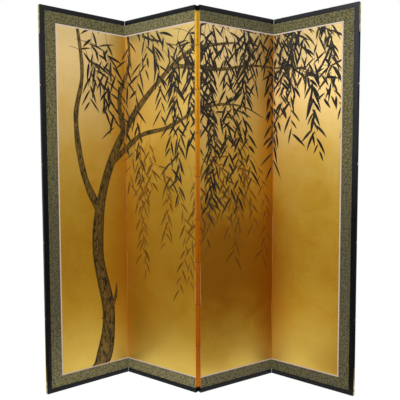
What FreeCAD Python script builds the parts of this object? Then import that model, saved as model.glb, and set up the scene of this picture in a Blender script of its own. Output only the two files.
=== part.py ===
import FreeCAD, Part
import math
import os

# A folding screen of four panels that are joined by paper hinges and stand in a zigzag.
# Lengths are in millimetres and angles in degrees. +Z is up and the gold side faces -Y.
# A panel is drawn upright before it is put in its place: u runs along its width from left
# to right, depth runs from its front to its back, and z runs up from the floor.
# Panels are numbered from the left. The lacquered frame and the woven border run round the
# outside of the whole screen, so a panel has them at its top and bottom, and at its side
# only where that side is an outer edge of the screen.

# The whole screen
screen_height = 1800.0
panel_width = 433.0
frame_thickness = 20.0
panel_count = 4

# How far each panel is turned out of the frontal plane, from the left
panel_turns = (38.5, -35.0, 32.5, -38.0)

# The folds: the room between two panel edges, and how far in front of the frame, or behind
# it, the line lies that the two panels turn about
fold_gap = 2.0
hinge_standoff = 0.4

# The lacquered strips of the frame
frame_width = 23.0
frame_crown = 0.8
frame_edge_radius = 1.5
frame_corner_radius = 3.0

# Borders inside the frame
brocade_width = 50.0
fillet_width = 5.5

# Layers of paper and cloth, from the frame's face inwards
frame_reveal = 0.8
gold_paper_thickness = 0.4
brocade_thickness = 0.5
fillet_thickness = 0.8
backing_thickness = 0.8
cover_thickness = 0.4
edge_paper_thickness = 0.3

# The wooden core
stile_width = 30.0
rail_width = 34.0
tenon_length = 20.0
tenon_shoulder = 6.0
tenon_share = 1 / 3
tenon_clearance = 0.1
tenon_end_gap = 1.0

# The lattice in the core
lattice_bar_width = 9.0
lattice_uprights = 3
lattice_crossbars = 10
lap_clearance = 0.1

# The paper hinges: strips one above the other, in turn on either panel of a fold. All have one
# height, but for the topmost, which takes what is left. Their number is odd, so the topmost
# lies on the same panel as the lowest
leaf_height = 200.0
leaf_thickness = 0.4
leaf_spacing = 1.2

# Brass on the outer edges
plate_length = 128.0
plate_thickness = 0.4
plate_edge_margin = 0.4
plate_corner_gap = 1.0
nails_per_plate = 2
nail_head_radius = 1.5
nail_head_height = 0.4
nail_shank_side = 1.4
nail_length = 9.0
stud_count = 4
stud_head_radius = 4.5
stud_head_height = 0.8
stud_shank_side = 2.4
stud_length = 34.0
shank_clearance = 0.1

# One overrun serves every cut
overrun = 5.0

# Depths and heights that follow from the sizes above
gold_face = frame_reveal
backing_front_face = gold_face + gold_paper_thickness
core_front = backing_front_face + backing_thickness
core_back = frame_thickness - core_front
core_middle = frame_thickness / 2
core_thickness = core_back - core_front
backing_back_face = frame_thickness - backing_front_face
cover_face = backing_back_face + cover_thickness
core_bottom = frame_width
core_top = screen_height - frame_width
rail_bottom_top = core_bottom + rail_width
rail_top_bottom = core_top - rail_width
brocade_edge = frame_width + brocade_width
gold_edge = brocade_edge + fillet_width
edge_flat = frame_thickness - 2 * (frame_crown + frame_edge_radius)


class Panel:
    """One panel: its number, its turn, and which of its sides are outer edges of the screen."""

    def __init__(self, number):
        self.number = number
        self.turn = panel_turns[number - 1]
        self.framed_left = number == 1
        self.framed_right = number == panel_count
        self.framed = self.framed_left or self.framed_right
        self.core_left = frame_width if self.framed_left else edge_paper_thickness
        right_margin = frame_width if self.framed_right else edge_paper_thickness
        self.core_right = panel_width - right_margin

    def outer_side(self, piece):
        """Puts a piece that was drawn at the left edge on the side that is an outer edge."""
        return flipped(piece) if self.framed_right else piece

    def fold_sides(self):
        """The sides where this panel meets a neighbour."""
        left = [] if self.framed_left else ["left"]
        right = [] if self.framed_right else ["right"]
        return left + right


def flipped(piece):
    """The mirror image of a piece, about the line down the middle of a panel."""
    middle = FreeCAD.Vector(panel_width / 2, 0, 0)
    return piece.mirror(middle, FreeCAD.Vector(1, 0, 0))


def block(u_from, u_to, depth_from, depth_to, z_from, z_to):
    """A rectangular block between two corners."""
    corner = FreeCAD.Vector(u_from, depth_from, z_from)
    return Part.makeBox(u_to - u_from, depth_to - depth_from, z_to - z_from, corner)


def slab(outline, depth_from, depth_to):
    """A flat piece with an outline in u and z, from one depth to another."""
    points = [FreeCAD.Vector(u, depth_from, z) for u, z in outline]
    face = Part.Face(Part.makePolygon(points + points[:1]))
    return face.extrude(FreeCAD.Vector(0, depth_to - depth_from, 0))


def cut_all(piece, tools):
    """The piece with every one of the tools cut away."""
    for tool in tools:
        piece = piece.cut(tool)
    return piece


def border_outlines(panel, outer, inner):
    """Outlines of a border's strips, from outer to inner millimetres inside the screen's edge.

    The strips are mitred where they meet at a corner and end square at a fold."""
    left_outer = outer if panel.framed_left else 0
    left_inner = inner if panel.framed_left else 0
    right_outer = panel_width - outer if panel.framed_right else panel_width
    right_inner = panel_width - inner if panel.framed_right else panel_width
    top_outer = screen_height - outer
    top_inner = screen_height - inner
    outlines = {
        "top": [
            (left_outer, top_outer),
            (right_outer, top_outer),
            (right_inner, top_inner),
            (left_inner, top_inner),
        ],
        "bottom": [
            (left_outer, outer),
            (right_outer, outer),
            (right_inner, inner),
            (left_inner, inner),
        ],
    }
    if panel.framed_left:
        outlines["side"] = [
            (outer, outer),
            (inner, inner),
            (inner, top_inner),
            (outer, top_outer),
        ]
    if panel.framed_right:
        outlines["side"] = [
            (right_outer, outer),
            (right_inner, inner),
            (right_inner, top_inner),
            (right_outer, top_outer),
        ]
    return outlines


def border(panel, outer, inner, thickness):
    """The flat strips of a border that is pasted on the front backing."""
    face = backing_front_face - thickness
    outlines = border_outlines(panel, outer, inner)
    strips = [slab(outline, face, backing_front_face) for outline in outlines.values()]
    return Part.makeCompound(strips)


def frame_bar(length):
    """A lacquered strip lying along u, with its inner face down and its outer edge up.

    The front and back are shallow arcs, and the two outer edges are rounded."""
    inner_front = FreeCAD.Vector(0, frame_crown, 0)
    front_middle = FreeCAD.Vector(0, 0, frame_width / 2)
    outer_front = FreeCAD.Vector(0, frame_crown, frame_width)
    outer_back = FreeCAD.Vector(0, frame_thickness - frame_crown, frame_width)
    back_middle = FreeCAD.Vector(0, frame_thickness, frame_width / 2)
    inner_back = FreeCAD.Vector(0, frame_thickness - frame_crown, 0)
    outline = [
        Part.Arc(inner_front, front_middle, outer_front).toShape(),
        Part.makeLine(outer_front, outer_back),
        Part.Arc(outer_back, back_middle, inner_back).toShape(),
        Part.makeLine(inner_back, inner_front),
    ]
    section = Part.Face(Part.Wire(outline))
    bar = section.extrude(FreeCAD.Vector(length, 0, 0))
    outer_edges = [edge for edge in bar.Edges if runs_along_top(edge)]
    return bar.makeFillet(frame_edge_radius, outer_edges)


def runs_along_top(edge):
    """True for the two long edges between a strip's faces and its outer edge."""
    start = edge.Vertexes[0].Point
    end = edge.Vertexes[-1].Point
    along = abs(end.x - start.x) > frame_width
    at_top = min(start.z, end.z) > frame_width - frame_edge_radius
    return along and at_top


def frame_outline(panel):
    """The space of a whole panel, with the screen's own corners rounded."""
    space = block(0, panel_width, -overrun, frame_thickness + overrun, 0, screen_height)
    if not panel.framed:
        return space
    outer_u = 0 if panel.framed_left else panel_width
    corners = [edge for edge in space.Edges if is_corner(edge, outer_u)]
    return space.makeFillet(frame_corner_radius, corners)


def is_corner(edge, outer_u):
    """True for an edge through the panel's thickness at its outer side."""
    start = edge.Vertexes[0].Point
    end = edge.Vertexes[-1].Point
    through = abs(end.y - start.y) > frame_thickness
    at_side = abs(start.x - outer_u) < frame_corner_radius
    return through and at_side


def frame_strips(panel):
    """The lacquered strips of a panel: top, bottom and, on an outer panel, the side."""
    lying = frame_bar(panel_width)
    bars = {
        "top": lying.translated(FreeCAD.Vector(0, 0, core_top)),
        "bottom": lying.mirror(FreeCAD.Vector(0, 0, frame_width / 2), FreeCAD.Vector(0, 0, 1)),
    }
    if panel.framed:
        upright = frame_bar(screen_height)
        upright.rotate(FreeCAD.Vector(0, 0, 0), FreeCAD.Vector(0, 1, 0), -90)
        upright.translate(FreeCAD.Vector(frame_width, 0, 0))
        bars["side"] = panel.outer_side(upright)
    space = frame_outline(panel)
    outlines = border_outlines(panel, 0, frame_width)
    strips = {}
    for name, bar in bars.items():
        mitred = bar.common(slab(outlines[name], -overrun, frame_thickness + overrun))
        strips[name] = mitred.common(space)
    if panel.framed:
        holes = [panel.outer_side(hole) for hole in stud_holes() + nail_holes()]
        strips["side"] = cut_all(strips["side"], holes)
    return strips


def tenon(u_from, u_to, rail_z, clearance):
    """The tongue of a rail, or with a clearance the room that it needs in a stile."""
    half = core_thickness * tenon_share / 2 + clearance
    return block(
        u_from,
        u_to,
        core_middle - half,
        core_middle + half,
        rail_z + tenon_shoulder - clearance,
        rail_z + rail_width - tenon_shoulder + clearance,
    )


def core_stiles(panel):
    """The two upright members of the core, mortised for the rails."""
    left_inner = panel.core_left + stile_width
    right_inner = panel.core_right - stile_width
    depth = tenon_length + tenon_end_gap
    stiles = []
    for u_from, mouth, inward in (
        (panel.core_left, left_inner, -depth),
        (right_inner, right_inner, depth),
    ):
        stile = block(u_from, u_from + stile_width, core_front, core_back, core_bottom, core_top)
        ends = sorted((mouth, mouth + inward))
        mortises = [tenon(ends[0], ends[1], z, tenon_clearance) for z in (core_bottom, rail_top_bottom)]
        stiles.append(cut_all(stile, mortises))
    if panel.framed:
        holes = [panel.outer_side(hole) for hole in stud_holes()]
        stiles = [cut_all(stile, holes) for stile in stiles]
    return Part.makeCompound(stiles)


def core_rails(panel):
    """The two cross members of the core, with a tenon at each end."""
    u_from = panel.core_left + stile_width
    u_to = panel.core_right - stile_width
    rails = []
    for z in (core_bottom, rail_top_bottom):
        rail = block(u_from, u_to, core_front, core_back, z, z + rail_width)
        tongue = tenon(u_from - tenon_length, u_to + tenon_length, z, 0)
        rails.append(rail.fuse(tongue).removeSplitter())
    return Part.makeCompound(rails)


def spread(low, high, count):
    """The middles of so many bars, evenly spaced between two faces."""
    step = (high - low) / (count + 1)
    return [low + step * (number + 1) for number in range(count)]


def lattice(panel):
    """Thin uprights and crossbars, half-lapped where they cross.

    At a crossing the upright keeps its back half and the crossbar its front half."""
    u_from = panel.core_left + stile_width
    u_to = panel.core_right - stile_width
    columns = spread(u_from, u_to, lattice_uprights)
    rows = spread(rail_bottom_top, rail_top_bottom, lattice_crossbars)
    half = lattice_bar_width / 2
    reach = half + lap_clearance
    bars = []
    for u in columns:
        upright = block(u - half, u + half, core_front, core_back, rail_bottom_top, rail_top_bottom)
        laps = [
            block(u - reach, u + reach, core_front - overrun, core_middle, z - reach, z + reach)
            for z in rows
        ]
        bars.append(cut_all(upright, laps))
    for z in rows:
        crossbar = block(u_from, u_to, core_front, core_back, z - half, z + half)
        laps = [
            block(u - reach, u + reach, core_middle, core_back + overrun, z - reach, z + reach)
            for u in columns
        ]
        bars.append(cut_all(crossbar, laps))
    return Part.makeCompound(bars)


def backing(panel, depth_from, depth_to):
    """The pasted layers of paper over one face of the core."""
    return block(panel.core_left, panel.core_right, depth_from, depth_to, core_bottom, core_top)


def gold_paper(panel):
    """The gold ground on the front, and the gold paper over each edge at a fold."""
    u_from = gold_edge if panel.framed_left else 0
    u_to = panel_width - gold_edge if panel.framed_right else panel_width
    z_to = screen_height - gold_edge
    sheets = [block(u_from, u_to, gold_face, backing_front_face, gold_edge, z_to)]
    edge_paper = block(
        0, edge_paper_thickness, backing_front_face, backing_back_face, core_bottom, core_top
    )
    for side in panel.fold_sides():
        sheets.append(edge_paper if side == "left" else flipped(edge_paper))
    return Part.makeCompound(sheets)


def back_cover(panel):
    """The cover paper on the back, which runs over the edge paper to the folds."""
    u_from = frame_width if panel.framed_left else 0
    u_to = panel_width - frame_width if panel.framed_right else panel_width
    return block(u_from, u_to, backing_back_face, cover_face, core_bottom, core_top)


def hinge_leaves(side, pivot_in_front, first):
    """Paper hinge strips on one edge of a panel, every second one of a fold's.

    Each lies flat on the edge. Where it crosses to the other panel it is folded into a
    round bead, whose middle is the line that the panels turn about."""
    radius = fold_gap / 2
    pivot = FreeCAD.Vector(-radius, -hinge_standoff, 0)
    flat_reach = radius - leaf_thickness
    joining_angle = math.acos(flat_reach / radius)
    far_angle = (joining_angle + 2 * math.pi) / 2
    joining = pivot + FreeCAD.Vector(flat_reach, radius * math.sin(joining_angle), 0)
    far = pivot + FreeCAD.Vector(radius * math.cos(far_angle), radius * math.sin(far_angle), 0)
    near = pivot + FreeCAD.Vector(radius, 0, 0)
    inner_end = FreeCAD.Vector(0, cover_face, 0)
    outer_end = FreeCAD.Vector(-leaf_thickness, cover_face, 0)
    outline = [
        Part.makeLine(near, inner_end),
        Part.makeLine(inner_end, outer_end),
        Part.makeLine(outer_end, joining),
        Part.Arc(joining, far, near).toShape(),
    ]
    section = Part.Face(Part.Wire(outline))
    if not pivot_in_front:
        middle = FreeCAD.Vector(0, core_middle, 0)
        section = section.mirror(middle, FreeCAD.Vector(0, 1, 0))
    pairs = max(0, round(((core_top - core_bottom) / leaf_height - 1) / 2))
    seams = [core_bottom + leaf_height * number for number in range(2 * pairs + 1)] + [core_top]
    leaves = []
    for foot, head in list(zip(seams, seams[1:]))[first::2]:
        place = FreeCAD.Vector(0, 0, foot + leaf_spacing / 2)
        height = FreeCAD.Vector(0, 0, head - foot - leaf_spacing)
        leaf = section.translated(place).extrude(height)
        leaves.append(leaf if side == "left" else flipped(leaf))
    return Part.makeCompound(leaves)


def plate_places():
    """The end near the corner, and the direction away from it, of each corner plate."""
    inset = frame_corner_radius + plate_corner_gap
    return ((inset, 1), (screen_height - inset, -1))


def nail_heights():
    """Where the nails of the corner plates stand, from the floor up."""
    step = plate_length / nails_per_plate
    return [
        start + direction * step * (number + 1 / 2)
        for start, direction in plate_places()
        for number in range(nails_per_plate)
    ]


def stud_heights():
    """Where the studs stand: they divide the height evenly."""
    return spread(0, screen_height, stud_count)


def corner_plates():
    """Brass plates on an outer edge at its two ends, each with one round end."""
    half = edge_flat / 2 - plate_edge_margin
    low = core_middle - half
    high = core_middle + half
    holes = nail_holes()
    plates = []
    for start, direction in plate_places():
        shoulder = start + direction * (plate_length - half)
        tip = start + direction * plate_length
        corners = [(low, shoulder), (low, start), (high, start), (high, shoulder)]
        points = [FreeCAD.Vector(0, depth, z) for depth, z in corners]
        sides = [Part.makeLine(points[i], points[i + 1]) for i in range(len(points) - 1)]
        end = Part.Arc(points[-1], FreeCAD.Vector(0, core_middle, tip), points[0]).toShape()
        face = Part.Face(Part.Wire(sides + [end]))
        plates.append(cut_all(face.extrude(FreeCAD.Vector(-plate_thickness, 0, 0)), holes))
    return Part.makeCompound(plates)


def fastener(head_radius, head_height, shank_side, length, seat_u, z):
    """A forged nail driven along u: a domed head whose underside is at seat_u, on a square shank."""
    base = FreeCAD.Vector(0, 0, 0)
    rim = FreeCAD.Vector(0, head_radius, 0)
    crown = FreeCAD.Vector(-head_height, 0, 0)
    sphere_radius = (head_radius**2 + head_height**2) / (2 * head_height)
    half_angle = math.asin(head_radius / sphere_radius) / 2
    shoulder_u = sphere_radius * (1 - math.cos(half_angle)) - head_height
    shoulder = FreeCAD.Vector(shoulder_u, sphere_radius * math.sin(half_angle), 0)
    outline = [
        Part.makeLine(base, rim),
        Part.Arc(rim, shoulder, crown).toShape(),
        Part.makeLine(crown, base),
    ]
    profile = Part.Face(Part.Wire(outline))
    head = profile.revolve(base, FreeCAD.Vector(1, 0, 0), 360)
    half = shank_side / 2
    shank = block(0, length, -half, half, -half, half)
    return head.fuse(shank).translated(FreeCAD.Vector(seat_u, core_middle, z))


def driven_hole(shank_side, length, z):
    """The room that a square shank takes, driven in from the outer edge."""
    half = shank_side / 2 + shank_clearance
    end = length + shank_clearance
    return block(-overrun, end, core_middle - half, core_middle + half, z - half, z + half)


def nail_holes():
    """Room for the plates' nails, through the plates and into the side strip."""
    return [driven_hole(nail_shank_side, nail_length, z) for z in nail_heights()]


def stud_holes():
    """Room for the studs, through the side strip and into the core."""
    return [driven_hole(stud_shank_side, stud_length, z) for z in stud_heights()]


def plate_nails():
    """The nails that hold the corner plates."""
    sizes = (nail_head_radius, nail_head_height, nail_shank_side, nail_length)
    return Part.makeCompound([fastener(*sizes, -plate_thickness, z) for z in nail_heights()])


def studs():
    """The dome-headed studs that hold the side strip to the core."""
    sizes = (stud_head_radius, stud_head_height, stud_shank_side, stud_length)
    return Part.makeCompound([fastener(*sizes, 0, z) for z in stud_heights()])


def panel_pieces(panel):
    """Every piece of one panel by its name, drawn upright."""
    name = f"panel_{panel.number}_"
    pieces = {
        name + "core_stiles": core_stiles(panel),
        name + "core_rails": core_rails(panel),
        name + "lattice": lattice(panel),
        name + "backing_front": backing(panel, backing_front_face, core_front),
        name + "backing_back": backing(panel, core_back, backing_back_face),
        name + "gold_paper": gold_paper(panel),
        name + "brocade": border(panel, frame_width, brocade_edge, brocade_thickness),
        name + "fillet": border(panel, brocade_edge, gold_edge, fillet_thickness),
        name + "back_cover": back_cover(panel),
    }
    for place, strip in frame_strips(panel).items():
        pieces[name + "frame_" + place] = strip
    if panel.framed:
        pieces[name + "corner_plates"] = panel.outer_side(corner_plates())
        pieces[name + "plate_nails"] = panel.outer_side(plate_nails())
        pieces[name + "studs"] = panel.outer_side(studs())
    for side in panel.fold_sides():
        fold = panel.number - 1 if side == "left" else panel.number
        pivot_in_front = fold % 2 == 1
        first = 1 if side == "left" else 0
        leaf_name = f"fold_{fold}_{fold + 1}_leaves_on_{panel.number}"
        pieces[leaf_name] = hinge_leaves(side, pivot_in_front, first)
    return pieces


def plan_point(u, depth, turn):
    """Where a point of a panel lies in plan, from the panel's own corner."""
    angle = math.radians(turn)
    x = u * math.cos(angle) - depth * math.sin(angle)
    y = u * math.sin(angle) + depth * math.cos(angle)
    return FreeCAD.Vector(x, y, 0)


def panel_places(panels):
    """Each panel's corner, and the line that each fold turns about, in plan.

    Odd folds open to the back and turn about a line in front of the frame. Even folds open
    to the front and turn about a line behind it."""
    corner = FreeCAD.Vector(0, 0, 0)
    corners = [corner]
    pivots = []
    for left, right in zip(panels, panels[1:]):
        in_front = left.number % 2 == 1
        depth = -hinge_standoff if in_front else frame_thickness + hinge_standoff
        pivot = corner + plan_point(panel_width + fold_gap / 2, depth, left.turn)
        corner = pivot - plan_point(-fold_gap / 2, depth, right.turn)
        corners.append(corner)
        pivots.append(pivot)
    return corners, pivots


def main():
    os.makedirs("parts", exist_ok=True)
    panels = [Panel(number) for number in range(1, panel_count + 1)]
    corners, pivots = panel_places(panels)
    placed = {}
    for panel, corner in zip(panels, corners):
        turn = FreeCAD.Rotation(FreeCAD.Vector(0, 0, 1), panel.turn)
        place = FreeCAD.Placement(corner, turn)
        for name, piece in panel_pieces(panel).items():
            placed[name] = piece.transformed(place.toMatrix())
    reach = Part.makeCompound(list(placed.values())).optimalBoundingBox(False, False)
    to_centre = FreeCAD.Vector(-reach.Center.x, -reach.Center.y, 0)
    for name, piece in placed.items():
        piece.translated(to_centre).exportStep(f"parts/{name}.step")
    for panel, pivot in zip(panels, pivots):
        line = pivot + to_centre
        print(f"fold {panel.number} to {panel.number + 1} turns about x {line.x:.3f}, y {line.y:.3f}")
    print(f"size {reach.XLength:.2f} by {reach.YLength:.2f} by {reach.ZLength:.2f}")


main()
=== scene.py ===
import math
from functools import partial

import bmesh
import bpy
import numpy as np
from mathutils import Matrix, Vector


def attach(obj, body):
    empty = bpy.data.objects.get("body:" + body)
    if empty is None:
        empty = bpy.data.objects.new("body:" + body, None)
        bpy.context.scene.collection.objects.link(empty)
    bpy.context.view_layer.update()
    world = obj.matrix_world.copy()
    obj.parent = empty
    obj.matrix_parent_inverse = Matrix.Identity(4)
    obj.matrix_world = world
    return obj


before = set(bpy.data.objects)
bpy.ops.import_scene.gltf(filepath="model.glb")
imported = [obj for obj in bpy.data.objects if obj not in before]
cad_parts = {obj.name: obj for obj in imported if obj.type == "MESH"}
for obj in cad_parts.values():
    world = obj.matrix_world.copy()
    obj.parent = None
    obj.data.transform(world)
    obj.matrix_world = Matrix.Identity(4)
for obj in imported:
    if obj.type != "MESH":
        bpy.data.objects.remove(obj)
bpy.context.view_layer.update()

bl_info = {
    "name": "Folding screen finishes",
    "version": (1, 0, 0),
    "blender": (4, 5, 0),
    "location": "View3D > Sidebar > Folding screen",
    "description": "Gilds, lacquers, papers and paints a folding screen of four panels",
    "category": "Object",
}

# Everything is in metres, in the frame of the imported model. A panel has its own axes too: u runs
# along its width from left to right, depth from its front to its back, and z up from the floor.
# The gold ground is painted as one picture, laid out on the unfolded screen: there s runs along
# the four panels one after the other, and z is the height.
MM = 0.001
PANEL_NUMBERS = (1, 2, 3, 4)

# The width of the camera's sensor, in millimetres, how much of the floor's white is its own, and
# the strength of that
SENSOR_WIDTH = 36
FLOOR_GLOW_SHARE = 0.85
FLOOR_GLOW = 1.1

# The card's rows round the screen, and those of its lying part and its bend. The lying part's
# last row stands at this share of the way to the bend.
CARD_TURNS = 45
CARD_FLAT_ROWS = 5
CARD_BEND_ROWS = 9
CARD_FLAT_TO = 0.8

# The scale at which the lines of a wave pattern stand a metre apart. Its wave turns by 20 radians
# in a unit along an axis, and diagonally by 10 for each unit of the sum of two.
STRAIGHT_WAVE = 2 * math.pi / 20
DIAGONAL_WAVE = 2 * math.pi / (10 * math.sqrt(2))

# The petals of a woven flower
PETALS = 6

# The bodies that carry the beads of the folds
FOLD_BODIES = {1: "panel_2", 2: "panel_2", 3: "panel_3"}

# The paint's layers stand this far proud of the gold, and its rims are sunk in it. Strokes stop
# short of the edges of the gold field, and points closer than the last of these are merged.
SHADE_CREST = 0.06 * MM
TRUNK_CREST = 0.1 * MM
LEAF_CREST = 0.16 * MM
SUNK = 0.03 * MM
EDGE_ROOM = 0.3 * MM
MERGE = 0.01 * MM

# The hinge strips of a fold are folded into beads of this radius, on the line that it turns
# about. The paper over them makes the visible bead thicker.
STRIP_BEAD_RADIUS = 1 * MM
BEAD_RADIUS = 1.5 * MM

# By how much the visible bead dips at a seam, and how far up and down from there
DIP_SHARE = 0.3
DIP_REACH = 1.2 * MM
BEAD_SIDES = 16

# Where marks of age, painted light and painted shade start and where they are strongest: heights
# above the floor first, then depths below the top, and then distances from the hands' height, a
# side, an edge or a strip's end
VALLEY_SHADE_HEIGHTS = (1.1, 0.6)
DUST_HEIGHT = 0.45
SCUFF_HEIGHTS = (60 * MM, 5 * MM)
FOOT_GREY_HEIGHTS = (0.6, 0.05)
FOOT_SHADE_HEIGHTS = (0.3, 0.05)
SHEEN_RISE = 0.5
TOP_SHADE_DEPTHS = (0.25, 0.05)
TOP_DARK_DEPTH = 0.1
FOLD_TOP_DARK_DEPTH = 0.25
HANDLED_REACHES = (0.65, 0.1)
SHEEN_WIDTHS = (0.15, 0.03)
FILLET_SHADOW_EDGE = (2.2 * MM, 0.6 * MM)
STRIP_END_REACHES = (3 * MM, 1 * MM)

# How far clouds shift the edge of the painted highlight towards the top, and of the browner,
# darker band below the middle
HIGHLIGHT_CLOUDS = 0.5
LOWER_BROWN_CLOUDS = 0.3

# Half the width from which a stroke's crest has its full height
FULL_HALF_WIDTH = 1 * MM

# The willow, on the unfolded screen: the points of each limb as s and z, with its width at the
# base and at the tip, and then the boughs: s, z, the spread to either side, the number of twigs,
# and their shortest and longest drop.
LIMBS = (
    (((0.2, -0.02), (0.29, 0.1), (0.325, 0.34), (0.27, 0.66), (0.31, 0.98), (0.44, 1.27),
      (0.64, 1.47), (0.84, 1.6), (1.08, 1.66)), (0.14, 0.012)),
    (((0.285, 0.84), (0.2, 1.04), (0.165, 1.3), (0.2, 1.52), (0.17, 1.8)), (0.055, 0.018)),
    (((0.36, 1.1), (0.52, 1.22), (0.72, 1.26), (0.93, 1.35), (1.1, 1.36), (1.24, 1.31)), (0.045, 0.005)),
    (((0.42, 1.24), (0.4, 1.42), (0.46, 1.6), (0.44, 1.8)), (0.04, 0.016)),
    (((0.74, 1.54), (0.95, 1.52), (1.18, 1.56), (1.4, 1.55), (1.56, 1.5)), (0.032, 0.005)),
    (((0.3, 0.3), (0.36, 0.4), (0.37, 0.48)), (0.05, 0.008)),
)
BOUGHS = (
    (0.16, 1.68, 0.07, 4, 0.25, 0.5),
    (0.44, 1.76, 0.12, 7, 0.25, 0.5),
    (0.72, 1.66, 0.16, 11, 0.3, 0.75),
    (0.95, 1.36, 0.14, 6, 0.3, 0.6),
    (1.08, 1.76, 0.2, 16, 0.2, 0.6),
    (1.4, 1.8, 0.22, 19, 0.2, 0.55),
    (1.4, 1.54, 0.14, 6, 0.2, 0.5),
)

# How far up or down from their bough the twigs start, and how far they reach sideways
BOUGH_THICKNESS = 0.05
NEAR_REACHES = (-0.1, 0.22)
NEAR_SEED = 5

# The foliage far off: the number of its twigs, the ranges of where they start, as s and as z, of
# how far they drop and of how far they reach sideways, and the length of a leaf to a near one's
FAR_TWIGS = 22
FAR_STARTS = ((0.5, 1.15), (1.0, 1.35))
FAR_DROPS = (0.25, 0.6)
FAR_REACHES = (-0.05, 0.16)
FAR_SEED = 11
FAR_LEAF_SHARE = 0.9


# The frame's own places

def mesh_points(node):
    """A CAD node's vertices, as rows of x, y and z."""
    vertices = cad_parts[node].data.vertices
    points = np.empty(len(vertices) * 3, np.float32)
    vertices.foreach_get("co", points)
    return points.reshape(-1, 3).astype(float)


class PanelPlane:
    """The axes and faces of one panel, read from its CAD nodes."""

    def __init__(self, number):
        self.number = number
        self.body = f"panel_{number}"
        backing = mesh_points(f"{self.body}_backing_front")[:, :2]
        to_left = backing[:, 0] < backing[:, 0].mean()
        run = backing[~to_left].mean(axis=0) - backing[to_left].mean(axis=0)
        self.turn = math.atan2(run[1], run[0])
        self.across = np.array([math.cos(self.turn), math.sin(self.turn)])
        self.inward = np.array([-math.sin(self.turn), math.cos(self.turn)])
        strip = mesh_points(f"{self.body}_frame_top")
        self.left = (strip[:, :2] @ self.across).min()
        self.front = (strip[:, :2] @ self.inward).min()
        self.width = (strip[:, :2] @ self.across).max() - self.left
        self.height = strip[:, 2].max()
        sheet = mesh_points(f"{self.body}_gold_paper")
        self.gold_depth = (sheet[:, :2] @ self.inward).min() - self.front
        self.unfolded_from = (number - 1) * self.width

    def place(self, u, depth, z):
        """Points given in the panel's own axes, as rows of x, y and z."""
        u, depth, z = np.broadcast_arrays(u, depth, z)
        along = np.multiply.outer(self.left + u, self.across)
        through = np.multiply.outer(self.front + depth, self.inward)
        return np.concatenate([along + through, z[..., None]], axis=-1)


def strip_edges(node, height):
    """How far inside the screen's top edge the top strip of a border starts and ends."""
    z = mesh_points(node)[:, 2]
    upper = z[z > height / 2]
    return height - upper.max(), height - upper.min()


def hinge_seams():
    """The heights at which the hinge strips of a fold start, meet and end."""
    nodes = ("fold_2_3_leaves_on_2", "fold_2_3_leaves_on_3")
    ends = np.unique(np.concatenate([mesh_points(node)[:, 2] for node in nodes]).round(4))
    meetings = (ends[1:-1:2] + ends[2::2]) / 2
    return np.concatenate([ends[:1], meetings, ends[-1:]])


planes = {number: PanelPlane(number) for number in PANEL_NUMBERS}
screen_height = planes[1].height
frame_inner, brocade_inner = strip_edges("panel_1_brocade", screen_height)
field_margin = strip_edges("panel_1_fillet", screen_height)[1]
seam_heights = hinge_seams()
strip_height = seam_heights[2] - seam_heights[1]


# Small tools

def linear(hex_colour):
    """An sRGB colour written as #RRGGBB, as linear red, green, blue and an alpha of 1."""
    channels = [int(hex_colour[i : i + 2], 16) / 255 for i in (1, 3, 5)]
    return [c / 12.92 if c <= 0.04045 else ((c + 0.055) / 1.055) ** 2.4 for c in channels] + [1.0]


def add_node(tree, kind, inputs, **settings):
    """Adds a node with its settings, and sets its inputs or links them.

    Inputs are given by name, or as a row in the order in which the node shows them: a Map Range
    has its value, where that starts and ends, and what the node gives there. A node given as a
    value stands for its first output in use, and #RRGGBB for that colour. Mix nodes mix colours."""
    made = tree.nodes.new(f"ShaderNode{kind}")
    if kind == "Mix":
        made.data_type = "RGBA"
    for name, value in settings.items():
        setattr(made, name, value)
    in_use = [socket for socket in made.inputs if socket.enabled]
    pairs = zip(in_use, inputs)
    if isinstance(inputs, dict):
        names = [socket.name for socket in in_use]
        pairs = [(in_use[names.index(name)], value) for name, value in inputs.items()]
    for socket, value in pairs:
        if isinstance(value, str):
            value = linear(value)
        if isinstance(value, bpy.types.Node):
            value = next(output for output in value.outputs if output.enabled)
        if isinstance(value, bpy.types.NodeSocket):
            tree.links.new(value, socket)
        else:
            socket.default_value = value
    return made


def new_material(name):
    """An empty material, and the function that adds a node to it."""
    material = bpy.data.materials.new(name)
    material.use_nodes = True
    material.node_tree.nodes.clear()
    return material, partial(add_node, material.node_tree)


def finish_with(add, inputs):
    """Ends a material with a Principled surface."""
    add("OutputMaterial", {"Surface": add("BsdfPrincipled", inputs)})


def apart(add, one, other):
    """How far apart two values are."""
    return add("Math", (add("Math", (one, other), operation="SUBTRACT"),), operation="ABSOLUTE")


def panel_face(add, plane):
    """Coordinates in metres on a panel: x is u, y is the height, and z points out of its front."""
    inputs = {
        "Vector": add("TexCoord", {}).outputs["Object"],
        "Location": plane.place(0.0, 0.0, 0.0),
        "Rotation": (math.pi / 2, 0, plane.turn),
    }
    return add("Mapping", inputs, vector_type="TEXTURE")


def new_object(name, data):
    """An object with its data, in the scene."""
    made = bpy.data.objects.new(name, data)
    bpy.context.scene.collection.objects.link(made)
    return made


def weld(mesh):
    """Merges the points of a mesh that coincide, and drops what this leaves without a length."""
    welded = bmesh.new()
    welded.from_mesh(mesh)
    bmesh.ops.remove_doubles(welded, verts=welded.verts, dist=MERGE)
    bmesh.ops.dissolve_degenerate(welded, edges=welded.edges, dist=MERGE)
    welded.to_mesh(mesh)
    welded.free()


def dress(node, material):
    """Gives a CAD node's surface a material."""
    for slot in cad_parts[node].material_slots:
        slot.material = material


def dress_panels(finish, settings, pieces):
    """Gives the named pieces of every panel a finish, made for that panel."""
    for plane in planes.values():
        material = finish(plane, settings)
        for piece in pieces:
            if f"{plane.body}_{piece}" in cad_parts:
                dress(f"{plane.body}_{piece}", material)


# Finishes

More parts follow.
